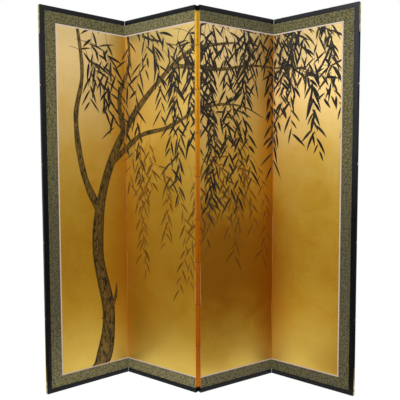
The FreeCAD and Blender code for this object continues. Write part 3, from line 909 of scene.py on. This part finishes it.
def fold_bead(name, fold, seams, material):
    """A round bead on the line that a fold turns about, closed at both ends.

    Its radius dips at each seam: its usual radius × (1 − dip share × exp(−(d / dip reach)²)) at
    a distance d from the nearest one. It is the same all round, so it fills the gap of the fold
    at every angle."""
    x, y = fold_line(fold)
    steps = np.linspace(-1.5, 1.5, 5) * DIP_REACH
    z = np.unique(np.clip((seams[:, None] + steps).ravel(), seams[0], seams[-1]))
    away = np.abs(z[:, None] - seams).min(axis=1)
    r = BEAD_RADIUS * (1 - DIP_SHARE * np.exp(-((away / DIP_REACH) ** 2)))
    z, r = np.concatenate([[z[0]], z, [z[-1]]]), np.concatenate([[0], r, [0]])
    turn = np.linspace(0, 2 * math.pi, BEAD_SIDES + 1)
    points = np.stack([
        x + np.multiply.outer(r, np.cos(turn)),
        y + np.multiply.outer(r, np.sin(turn)),
        np.broadcast_to(z[:, None], (len(z), len(turn))),
    ], axis=-1)
    bead = grid_object(name, points, material)
    weld(bead.data)
    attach(bead, FOLD_BODIES[fold])
    return bead


def fold_line(fold):
    """Where the line that a fold turns about stands, as x and y: the middle of its strips' beads."""
    left, right = planes[fold], planes[fold + 1]
    ends = [mesh_points(f"fold_{fold}_{fold + 1}_leaves_on_{side}") for side in (fold, fold + 1)]
    facing = left.inward + right.inward
    facing *= (1 if fold == 2 else -1) / np.linalg.norm(facing)
    tips = [points[np.argmax(points[:, :2] @ facing), :2] for points in ends]
    return np.mean(tips, axis=0) - facing * STRIP_BEAD_RADIUS


# The stage

def grid_object(name, points, material):
    """A mesh object from a grid of points: rows, columns, and x, y and z."""
    rows, columns = points.shape[:2]
    corner = np.arange((rows - 1) * columns).reshape(rows - 1, columns)[:, :-1].ravel()
    faces = np.stack([corner, corner + 1, corner + columns + 1, corner + columns], axis=1)
    mesh = bpy.data.meshes.new(name)
    mesh.from_pydata(points.reshape(-1, 3), [], faces)
    mesh.polygons.foreach_set("use_smooth", np.ones(len(faces), bool))
    mesh.materials.append(material)
    return new_object(name, mesh)


def floor_points(settings):
    """A square of floor, whose x and y run from minus to plus its reach."""
    reach = np.linspace(-settings.floor_reach, settings.floor_reach, 3)
    x, y = np.meshgrid(reach, reach)
    return np.stack([x, y, np.full_like(x, -settings.floor_drop)], axis=-1)


def card_points(settings):
    """A card that lies on the floor in front of the screen and curves up to stand round it.

    Its profile, a straight, a quarter circle and a straight, is turned about the upright axis.
    Its top and its near edge move steadily from the left to the right, but to either side the
    near edge keeps clear of the screen's outer feet."""
    bend = np.linspace(0, math.pi / 2, CARD_BEND_ROWS)
    radius = settings.card_bend
    foot = settings.card_far - radius
    turn = np.linspace(-settings.card_half_angle, settings.card_half_angle, CARD_TURNS)[:, None]
    share = (turn + settings.card_half_angle) / (2 * settings.card_half_angle)
    top = settings.card_left_height + share * (settings.card_right_height - settings.card_left_height)
    share = 0.5 + turn / (2 * settings.card_clear_angle)
    near = settings.card_left_near + share * (settings.card_right_near - settings.card_left_near)
    near = np.where(np.abs(turn) > settings.card_clear_angle, settings.card_clear, near)
    lying = near + (foot - near) * np.linspace(0, CARD_FLAT_TO, CARD_FLAT_ROWS)
    past = np.concatenate([foot + radius * np.sin(bend), [settings.card_far]])
    r = np.concatenate([lying, np.broadcast_to(past, (len(turn), len(past)))], axis=1)
    z = np.concatenate([0 * lying[0], radius - radius * np.cos(bend)])
    z = np.concatenate([np.broadcast_to(z, (len(turn), len(z))), top], axis=1)
    return np.stack([r * np.sin(turn), -r * np.cos(turn), z + settings.card_lift], axis=-1)


def seen_directly(add):
    """1 for the camera's rays and those in reflections and through glass, and 0 for the rest."""
    rays = add("LightPath", {}).outputs
    seen = rays["Is Camera Ray"]
    for kind in ("Is Glossy Ray", "Is Transmission Ray"):
        seen = add("Math", (seen, rays[kind]), operation="MAXIMUM")
    return seen


def white_floor():
    """White paper on the floor. The camera and the reflections see it white, but for the shadow."""
    material, add = new_material("white_paper_floor")
    factor = add("Math", (seen_directly(add), FLOOR_GLOW_SHARE), operation="MULTIPLY")
    paper = add("BsdfDiffuse", {"Color": "#F2F2F2"})
    glow = add("Emission", {"Color": "#FFFFFF", "Strength": FLOOR_GLOW})
    add("OutputMaterial", {"Surface": add("MixShader", (factor, paper, glow))})
    return material


def warm_card(settings):
    """Matt card, tan near the screen, brown further out and paler again up its standing part,
    like the room that the gold reflects."""
    material, add = new_material("warm_card")
    where = add("TexCoord", {}).outputs["Object"]
    flat = add("VectorMath", (where, (1, 1, 0), (settings.card_shift, 0, 0)), operation="MULTIPLY_ADD")
    distance = add("VectorMath", (flat,), operation="LENGTH")
    far = add("MapRange", (
        distance, settings.card_tan_to, settings.card_brown_from,
    ), interpolation_type="SMOOTHSTEP")
    colour = add("Mix", (far, settings.card_near_colour, settings.card_far_colour))
    height = add("SeparateXYZ", {"Vector": where}).outputs["Z"]
    upper = add("MapRange", (height, 0.3, settings.card_pale_from), interpolation_type="SMOOTHSTEP")
    to_right = add("SeparateXYZ", {"Vector": where}).outputs["X"]
    to_right = add("MapRange", (to_right, 0, 2))
    upper_colour = add("Mix", (to_right, settings.card_upper_colour, settings.card_upper_right_colour))
    colour = add("Mix", (upper, colour, upper_colour))
    card = add("BsdfDiffuse", {"Color": colour})
    add("OutputMaterial", {"Surface": card})
    return material


def white_tent(settings):
    """The world: white to the camera and in reflections, and a softer light on matt surfaces."""
    world = bpy.data.worlds.new("white_tent")
    world.use_nodes = True
    world.node_tree.nodes.clear()
    add = partial(add_node, world.node_tree)
    strength = add("MapRange", (seen_directly(add), 0, 1, settings.sky, 1))
    light = add("Background", {"Color": "#FFFFFF", "Strength": strength})
    add("OutputWorld", {"Surface": light})
    return world


def square_lamp(name, place, aim_height, size, watts):
    """A large square lamp that points at the middle of the screen, at a height."""
    data = bpy.data.lights.new(name, "AREA")
    data.shape = "SQUARE"
    data.size = size
    data.energy = watts
    lamp = new_object(name, data)
    place = Vector(place)
    aim = Vector((0, 0, aim_height)) - place
    lamp.matrix_world = Matrix.Translation(place) @ aim.to_track_quat("-Z", "Y").to_matrix().to_4x4()
    return lamp


def front_camera(settings):
    """The camera, which stands in front of the screen and looks slightly down."""
    data = bpy.data.cameras.new("camera")
    data.lens = settings.lens
    data.sensor_width = SENSOR_WIDTH
    camera = new_object("camera", data)
    level = Matrix.Rotation(math.pi / 2 - settings.pitch, 4, "X")
    turned = Matrix.Rotation(settings.yaw, 4, "Z") @ level @ Matrix.Rotation(settings.roll, 4, "Z")
    camera.matrix_world = Matrix.Translation(settings.camera_place) @ turned
    return camera


# What a user may change

def a_length(name, description, default):
    """A length in metres."""
    return bpy.props.FloatProperty(
        name=name, description=description, default=default, min=0.0, precision=4, unit="LENGTH"
    )


def a_share(name, description, default):
    """A value from 0 to 1."""
    return bpy.props.FloatProperty(
        name=name, description=description, default=default, min=0.0, max=1.0, subtype="FACTOR"
    )


def per_panel(name, description, default, most=1.0, unit="NONE"):
    """A value for each of the four panels."""
    return bpy.props.FloatVectorProperty(
        name=name, description=description, default=default, size=4, min=0.0, max=most, unit=unit
    )


def a_place(name, description, default):
    """A place, as x, y and z in metres."""
    return bpy.props.FloatVectorProperty(name=name, description=description, default=default, unit="LENGTH")


def a_power(name, description, default):
    """A lamp's power in watts."""
    return bpy.props.FloatProperty(name=name, description=description, default=default, min=0.0)


def an_angle(name, description, degrees):
    """An angle, given in degrees and kept in radians."""
    return bpy.props.FloatProperty(
        name=name, description=description, default=math.radians(degrees), unit="ROTATION"
    )


def a_colour(name, description, default):
    """An sRGB colour written as #RRGGBB."""
    return bpy.props.StringProperty(name=name, description=description, default=default)


class ScreenGold(bpy.types.PropertyGroup):
    """The gold ground."""

    deep: a_colour("Deep gold", "Where the leaf is thin and rubbed", "#F0C442")
    pale: a_colour("Pale gold", "Where the leaf is thick and fresh", "#FBDA5A")
    # A highlight painted paler towards the top, for the bright light from above
    painted_highlight_colour: a_colour("Bloom", "Where the varnish has gone milky, towards the top", "#F9DCA4")
    highlight_from: a_length("Bloom from", "Height at which the bloom starts", 0.75)
    highlight_shares: per_panel(
        "Bloom of each panel", "How milky the top of each panel is", (0.9, 0.5, 0.9, 1.0)
    )
    # Darker towards the very top, by a share and to a depth given for each panel
    top_dark_colour: a_colour("Smoke", "Where the leaf has gone smoky, at the very top", "#B8A060")
    top_dark_depths: per_panel(
        "Smoke depths", "How far down each panel the smoke reaches", (0.22, 0.55, 0.25, 0.38), unit="LENGTH"
    )
    top_dark_shares: per_panel(
        "Smoke of each panel", "How smoky the top of each panel is", (0.3, 0.7, 0.25, 0.75)
    )
    # Browner and darker below the middle, on the third panel
    lower_brown_colour: a_colour("Tarnish", "Where the leaf has gone brown, below the middle", "#C48622")
    lower_brown_height: a_length("Tarnish height", "Height at which the leaf is brownest", 0.6)
    lower_brown_reach: a_length("Tarnish reach", "How far up and down from there the brown reaches", 0.42)
    lower_brown_shares: per_panel(
        "Tarnish of each panel", "How brown each panel is there", (0.0, 0.0, 0.75, 0.0)
    )
    dust: a_colour("Dust", "Where the leaf is dusty, at the foot", "#D2B660")
    # Warm shade painted by the folds that lie back, as the valley's shade and reflected light
    valley_reach: a_length("Valley reach", "How far from a fold that lies back the gold is warmer", 0.15)
    valley_shade_shares: per_panel(
        "Warmth of each panel", "How much warmer each panel is there", (0.45, 0.25, 0.75, 0.5)
    )
    fresh: a_colour("Fresh gold", "Inside the folds near the top, where the leaf is bare", "#F8E072")
    handled: a_colour("Handled gold", "Inside the folds, where hands reach", "#F6BE3C")
    handled_to: a_length("Handled to", "Height up to which hands reach into the folds", 0.75)
    # The crease colour is painted shade: the deep orange of a shaded crease
    crease: a_colour("Crease", "The paper in the crease of a fold", "#D08418")
    strip_end: a_colour("Strip end", "Where two hinge strips meet", "#A86A18")
    seam: a_colour("Seam", "Where one leaf laps over the next", "#DDA840")
    bare_paper: a_colour("Bare paper", "Where the leaf has worn off", "#DDBB84")
    worn_width: a_length("Worn width", "How wide the worn line beside the middle fold is", 2.2 * MM)
    leaf_side: a_length("Leaf side", "Side of one square of gold leaf", 106 * MM)
    leaf_overlap: a_length("Leaf overlap", "How far one leaf laps over the next", 3 * MM)
    roughness: a_share("Roughness", "How matt the rubbed gold is", 0.43)
    varnish: a_share("Varnish", "How strong the gloss of the thin varnish is", 0.3)


class ScreenPainting(bpy.types.PropertyGroup):
    """The painted willow."""

    ink: a_colour("Ink", "Where the brush was full", "#0D0E12")
    dry_ink: a_colour("Dry ink", "Where the brush ran dry", "#5A4A2A")
    wash: a_colour("Wash", "The thinned ink of the trunk", "#8A6E34")
    wash_edge: a_colour("Wash edge", "The edges and the bark of the trunk", "#2A2418")
    far_foliage: a_colour("Far foliage", "The brown foliage far off", "#8A5E22")
    far_foliage_pale: a_colour("Pale far foliage", "Where that foliage is palest", "#B4883C")
    leaf_length: a_length("Leaf length", "Usual length of a painted leaf", 96 * MM)
    leaf_width: a_length("Leaf width", "Usual width of a painted leaf", 14 * MM)
    leaf_spacing: a_length("Leaf spacing", "From one leaf of a twig to the next", 32 * MM)
    twig_width: a_length("Twig width", "Width of a twig where it leaves its limb", 3 * MM)


class ScreenLacquer(bpy.types.PropertyGroup):
    """The frame's lacquer."""

    deep: a_colour("Deep black", "Where the lacquer is thick", "#08090D")
    worn: a_colour("Worn black", "Where the lacquer is rubbed thin", "#0E0F15")
    scuffed: a_colour("Scuffed black", "Where the lacquer is scuffed", "#3A3936")
    # A grey sheen painted on the frame's front for the light from above
    painted_sheen_grey: a_colour("Hazy black", "Where the lacquer is hazy", "#2B2D32")
    sheen_from: a_length("Haze from", "Height at which the haze starts", 0.75)
    sheen_shares: per_panel(
        "Haze of each panel", "How hazy the top of each panel's frame is", (0.2, 0.0, 0.0, 0.8)
    )
    front_gloss: per_panel(
        "Gloss of the front", "How strongly the front of each panel's frame mirrors",
        (0.2, 0.14, 0.17, 0.18)
    )
    side_gloss: per_panel(
        "Gloss of the sides", "How strongly each panel's frame mirrors elsewhere", (0.08, 0.2, 0.2, 0.01)
    )


class ScreenBrocade(bpy.types.PropertyGroup):
    """The woven border."""

    ground: a_colour("Ground", "The matt ground of the cloth", "#3A3823")
    faded_ground: a_colour("Faded ground", "Where the ground has faded", "#4A4529")
    figure: a_colour("Figure", "The shinier flowers and leaves", "#8A8040")
    grey_figure: a_colour("Grey figure", "Where their silk was dyed greyer", "#7A7659")
    rubbed: a_colour("Rubbed cloth", "Where the cloth is rubbed in the folds", "#84836C")
    dirt: a_colour("Dirt", "Where hands have dirtied the cloth", "#403F36")
    handled_height: a_length("Handled height", "Where hands reach the cloth most", 0.65)
    foot_tint: a_colour("Foot tint", "What the cloth's colour is multiplied by at the foot", "#EBEDFF")
    # Light and shade painted along the foot and the top of each panel
    foot_painted_light: per_panel(
        "Foot shades", "How light the cloth is along the foot of each panel", (1.66, 1.68, 1.14, 0.9), 2.0
    )
    top_painted_light: per_panel(
        "Top shades", "How light the cloth is along the top of each panel", (0.85, 1.06, 0.72, 0.85), 2.0
    )
    flower_spacing: a_length("Flower spacing", "From one flower to the next", 17 * MM)
    rib_spacing: a_length("Rib spacing", "From one diagonal rib of the weave to the next", 10.663 * MM)


class ScreenPapers(bpy.types.PropertyGroup):
    """The fillet, the papers and the wood."""

    fillet: a_colour("Fillet", "The narrow strip inside the brocade", "#DAC6BC")
    yellowed_fillet: a_colour("Yellowed fillet", "Where its silk has yellowed", "#D0B9A2")
    cover: a_colour("Cover", "The paper on the back", "#35261C")
    pasted_cover: a_colour("Pasted cover", "Where the paste under it was thick", "#443226")
    rubbed_cover: a_colour("Rubbed cover", "Where it is rubbed, or two sheets lap", "#64503C")
    fibre: a_colour("Fibre", "The long fibres in it", "#7A6248")
    sheet_height: a_length("Sheet height", "Height of one sheet of it", 0.36)
    bare_edge: a_colour("Bare edge", "The bare paper between the frame's strips at a fold", "#B4B5B2")
    backing: a_colour("Backing", "The paper under the gold and the cover", "#D6CBB0")
    thin_backing: a_colour("Thin backing", "Where its pulp is thin", "#B9AA88")
    wood: a_colour("Wood", "The core's early wood", "#CFAC7E")
    late_wood: a_colour("Late wood", "The darker bands of its grain", "#A67B4C")


class ScreenBrass(bpy.types.PropertyGroup):
    """The brass plates, nails and studs."""

    patina: a_colour("Patina", "Where the brass has aged", "#87803E")
    rubbed: a_colour("Rubbed", "Where it is rubbed bright", "#C2B468")
    polished: a_colour("Polished", "The heads of the studs, which hands keep bright", "#E6E0BE")


class ScreenStage(bpy.types.PropertyGroup):
    """The camera, the floor and the light."""

    lens: bpy.props.FloatProperty(
        name="Lens", description="Focal length on a 36 mm sensor", default=44.9, unit="CAMERA"
    )
    camera_place: a_place("Camera", "Where the camera stands", (0.0225, -2.4173, 1.0558))
    pitch: an_angle("Pitch", "How far the camera looks down", 3.496)
    yaw: an_angle("Yaw", "How far the camera looks to the left", 0.455)
    roll: an_angle("Roll", "How far the camera leans to the left", -0.135)
    floor_reach: a_length("Floor reach", "How far the floor runs each way", 40)
    floor_drop: a_length("Floor drop", "How far the floor is under the screen", 0.5 * MM)
    sky: a_share("Sky", "How much light the world sheds on matt surfaces", 0.55)
    card_near_colour: a_colour("Near card", "The card near the screen", "#B4985C")
    card_far_colour: a_colour("Far card", "The card further out", "#8C7040")
    card_upper_colour: a_colour("Upper card", "The top of the card's standing part", "#B0965F")
    card_upper_right_colour: a_colour("Upper right card", "That top on the right", "#CDB070")
    card_tan_to: a_length("Card tan to", "How far out the card keeps its near colour", 0.6)
    card_brown_from: a_length("Card brown from", "Where the card has its far colour", 1.8)
    card_shift: a_length("Card shift", "How far to the left the middle of its near colour is", 0.25)
    card_pale_from: a_length("Card pale from", "Height at which the card has its upper colour", 1.5)
    card_left_near: a_length("Card near on the left", "How far off the card starts on the left", 0.55)
    card_right_near: a_length("Card near on the right", "How far off the card starts on the right", 0.3)
    card_clear: a_length("Card clear", "How far off the card starts beside the screen's outer feet", 0.85)
    card_clear_angle: an_angle("Card clear angle", "How far to either side those feet are", 72)
    card_far: a_length("Card far", "How far from the screen the card stands up", 4.0)
    card_bend: a_length("Card bend", "Radius of the card's bend", 0.6)
    card_lift: a_length("Card lift", "How far the card is above the floor", 4 * MM)
    card_left_height: a_length("Card height on the left", "How high the card's left end is", 2.0)
    card_right_height: a_length("Card height on the right", "How high the card's right end is", 1.9)
    card_half_angle: an_angle("Card half angle", "How far the card reaches to either side", 110)
    lamp_place: a_place("Lamp", "Where the soft box stands", (-2.4, -2.6, 3.0))
    lamp_size: a_length("Lamp size", "Side of the soft box", 3.2)
    lamp_power: a_power("Lamp power", "Power of the soft box in watts", 50)
    top_place: a_place("Top light", "Where the light above the screen stands", (0, -1.3, 3.3))
    top_size: a_length("Top light size", "Side of the light above the screen", 1.2)
    top_power: a_power("Top light power", "Power of the light above the screen in watts", 24)


# The steps

class SCREEN_OT_gold_ground(bpy.types.Operator):
    """Gilds the ground, the edges at the folds and the paper hinges"""

    bl_idname = "screen.gold_ground"
    bl_label = "Gold ground"

    def execute(self, context):
        for plane in planes.values():
            leaf = gold_leaf(plane, context.scene.screen_gold)
            dress(f"{plane.body}_gold_paper", leaf)
            on_this_panel = f"leaves_on_{plane.number}"
            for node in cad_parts:
                if node.endswith(on_this_panel):
                    dress(node, leaf)
        return {"FINISHED"}


class SCREEN_OT_painted_trunk(bpy.types.Operator):
    """Paints the willow's trunk and limbs in a wash of ink"""

    bl_idname = "screen.painted_trunk"
    bl_label = "Painted trunk"

    def execute(self, context):
        wash = ink_wash(context.scene.screen_painting)
        strokes = [limb(points, *widths) for points, widths in LIMBS]
        for plane in planes.values():
            brush_strokes(f"{plane.body}_trunk", plane, strokes, TRUNK_CREST, wash)
        return {"FINISHED"}


class SCREEN_OT_painted_shade(bpy.types.Operator):
    """Paints the brown foliage behind the willow"""

    bl_idname = "screen.painted_shade"
    bl_label = "Far foliage"

    def execute(self, context):
        settings = context.scene.screen_painting
        wash = brown_wash(settings)
        rng = np.random.default_rng(FAR_SEED)
        starts = np.stack([rng.uniform(*limits, FAR_TWIGS) for limits in FAR_STARTS], axis=-1)
        drops = rng.uniform(*FAR_DROPS, FAR_TWIGS)
        twigs = withies(rng, starts, drops, rng.uniform(*FAR_REACHES, FAR_TWIGS))
        leaf_length = FAR_LEAF_SHARE * settings.leaf_length
        leaves = leaf_strokes(rng, twigs, settings.leaf_spacing, leaf_length, settings.leaf_width)
        strokes = [twig_strokes(rng, twigs, settings.twig_width), leaves]
        for plane in planes.values():
            brush_strokes(f"{plane.body}_far_foliage", plane, strokes, SHADE_CREST, wash)
        return {"FINISHED"}


class SCREEN_OT_painted_leaves(bpy.types.Operator):
    """Paints the willow's hanging twigs and leaves in black ink"""

    bl_idname = "screen.painted_leaves"
    bl_label = "Painted leaves"

    def execute(self, context):
        settings = context.scene.screen_painting
        ink = brushed_ink(settings)
        rng = np.random.default_rng(NEAR_SEED)
        twigs = []
        for s, z, spread, count, shortest, longest in BOUGHS:
            starts = np.stack([
                s + rng.uniform(-spread, spread, count),
                z + rng.uniform(-BOUGH_THICKNESS, BOUGH_THICKNESS, count),
            ], axis=-1)
            drops = rng.uniform(shortest, longest, count)
            twigs.append(withies(rng, starts, drops, rng.uniform(*NEAR_REACHES, count)))
        twigs = np.concatenate(twigs)
        leaves = leaf_strokes(rng, twigs, settings.leaf_spacing, settings.leaf_length, settings.leaf_width)
        strokes = [twig_strokes(rng, twigs, settings.twig_width), leaves]
        for plane in planes.values():
            brush_strokes(f"{plane.body}_leaves", plane, strokes, LEAF_CREST, ink)
        return {"FINISHED"}


class SCREEN_OT_middle_fold(bpy.types.Operator):
    """Adds the folded paper in the middle fold, with a lacquered stop at either end of it"""

    bl_idname = "screen.middle_fold"
    bl_label = "Middle fold"

    def execute(self, context):
        leaf = creased_leaf(context.scene.screen_gold)
        lacquer = black_lacquer(planes[2], context.scene.screen_lacquer)
        paper = fold_bead("fold_2_3_bead", 2, seam_heights, leaf)
        ends = {"bottom": (0.0, seam_heights[0]), "top": (seam_heights[-1], screen_height)}
        for end, heights in ends.items():
            stop = fold_bead(f"fold_2_3_stop_{end}", 2, np.array(heights), lacquer)
        return {"FINISHED"}


class SCREEN_OT_valley_folds(bpy.types.Operator):
    """Faces the hinges of the two folds that lie back like the panels, and adds their beads"""

    bl_idname = "screen.valley_folds"
    bl_label = "Valley folds"

    def execute(self, context):
        scene = context.scene
        crease = valley_crease(scene.screen_gold, scene.screen_brocade, scene.screen_papers)
        seams = np.concatenate([[0.0], seam_heights, [screen_height]])
        for fold in (1, 3):
            paper = fold_bead(f"fold_{fold}_{fold + 1}_bead", fold, seams, crease)
            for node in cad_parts:
                if node.startswith(f"fold_{fold}_"):
                    dress(node, crease)
        return {"FINISHED"}


class SCREEN_OT_lacquered_frame(bpy.types.Operator):
    """Lacquers the strips of the frame"""

    bl_idname = "screen.lacquered_frame"
    bl_label = "Lacquered frame"

    def execute(self, context):
        strips = ("frame_top", "frame_bottom", "frame_side")
        dress_panels(black_lacquer, context.scene.screen_lacquer, strips)
        return {"FINISHED"}


class SCREEN_OT_woven_border(bpy.types.Operator):
    """Weaves the brocade border and the silk on the fillet inside it"""

    bl_idname = "screen.woven_border"
    bl_label = "Woven border"

    def execute(self, context):
        dress_panels(olive_brocade, context.scene.screen_brocade, ("brocade",))
        dress_panels(pale_fillet, context.scene.screen_papers, ("fillet",))
        return {"FINISHED"}


class SCREEN_OT_papered_back(bpy.types.Operator):
    """Covers the back with brown paper"""

    bl_idname = "screen.papered_back"
    bl_label = "Papered back"

    def execute(self, context):
        dress_panels(cover_paper, context.scene.screen_papers, ("back_cover",))
        return {"FINISHED"}


class SCREEN_OT_papered_core(bpy.types.Operator):
    """Planes the wood of the core and pastes the backing papers over it"""

    bl_idname = "screen.papered_core"
    bl_label = "Papered core"

    def execute(self, context):
        papers = context.scene.screen_papers
        dress_panels(planed_wood, papers, ("core_stiles", "core_rails", "lattice"))
        dress_panels(backing_paper, papers, ("backing_front", "backing_back"))
        return {"FINISHED"}


class SCREEN_OT_brasswork(bpy.types.Operator):
    """Finishes the corner plates, their nails and the studs"""

    bl_idname = "screen.brasswork"
    bl_label = "Brasswork"

    def execute(self, context):
        settings = context.scene.screen_brass
        plates = aged_brass("aged_brass", settings.rubbed, settings.patina)
        heads = aged_brass("rubbed_brass", settings.polished, settings.rubbed)
        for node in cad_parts:
            if node.endswith(("corner_plates", "plate_nails")):
                dress(node, plates)
            elif node.endswith("studs"):
                dress(node, heads)
        return {"FINISHED"}


class SCREEN_OT_stage(bpy.types.Operator):
    """Sets up the floor, the light and the camera"""

    bl_idname = "screen.stage"
    bl_label = "Stage"

    def execute(self, context):
        scene = context.scene
        settings = scene.screen_stage
        floor = grid_object("floor", floor_points(settings), white_floor())
        card = grid_object("warm_card", card_points(settings), warm_card(settings))
        card.visible_camera = card.visible_diffuse = card.visible_shadow = False
        square_lamp(
            "soft_box", settings.lamp_place, screen_height / 2, settings.lamp_size, settings.lamp_power
        )
        top_light = square_lamp(
            "top_light", settings.top_place, screen_height, settings.top_size, settings.top_power
        )
        top_light.visible_glossy = False
        scene.camera = front_camera(settings)
        scene.world = white_tent(settings)
        scene.view_settings.view_transform = "Standard"
        return {"FINISHED"}


STEPS = (
    SCREEN_OT_gold_ground,
    SCREEN_OT_painted_shade,
    SCREEN_OT_painted_trunk,
    SCREEN_OT_painted_leaves,
    SCREEN_OT_middle_fold,
    SCREEN_OT_valley_folds,
    SCREEN_OT_lacquered_frame,
    SCREEN_OT_woven_border,
    SCREEN_OT_papered_back,
    SCREEN_OT_papered_core,
    SCREEN_OT_brasswork,
    SCREEN_OT_stage,
)


class SCREEN_PT_steps(bpy.types.Panel):
    """Lists the steps in the order that they are run"""

    bl_idname = "SCREEN_PT_steps"
    bl_label = "Folding screen"
    bl_space_type = "VIEW_3D"
    bl_region_type = "UI"
    bl_category = "Folding screen"

    def draw(self, context):
        for step in STEPS:
            self.layout.operator(step.bl_idname)


SETTINGS = {
    "screen_gold": ScreenGold,
    "screen_painting": ScreenPainting,
    "screen_lacquer": ScreenLacquer,
    "screen_brocade": ScreenBrocade,
    "screen_papers": ScreenPapers,
    "screen_brass": ScreenBrass,
    "screen_stage": ScreenStage,
}


def register():
    for each in (*SETTINGS.values(), *STEPS, SCREEN_PT_steps):
        bpy.utils.register_class(each)
    for name, group in SETTINGS.items():
        setattr(bpy.types.Scene, name, bpy.props.PointerProperty(type=group))


def unregister():
    for name in SETTINGS:
        delattr(bpy.types.Scene, name)
    for each in (SCREEN_PT_steps, *reversed(STEPS), *reversed(SETTINGS.values())):
        bpy.utils.unregister_class(each)


def main():
    register()
    bpy.ops.screen.gold_ground()
    bpy.ops.screen.painted_shade()
    bpy.ops.screen.painted_trunk()
    bpy.ops.screen.painted_leaves()
    bpy.ops.screen.middle_fold()
    bpy.ops.screen.valley_folds()
    bpy.ops.screen.lacquered_frame()
    bpy.ops.screen.woven_border()
    bpy.ops.screen.papered_back()
    bpy.ops.screen.papered_core()
    bpy.ops.screen.brasswork()
    bpy.ops.screen.stage()


if __name__ == "__main__":
    main()
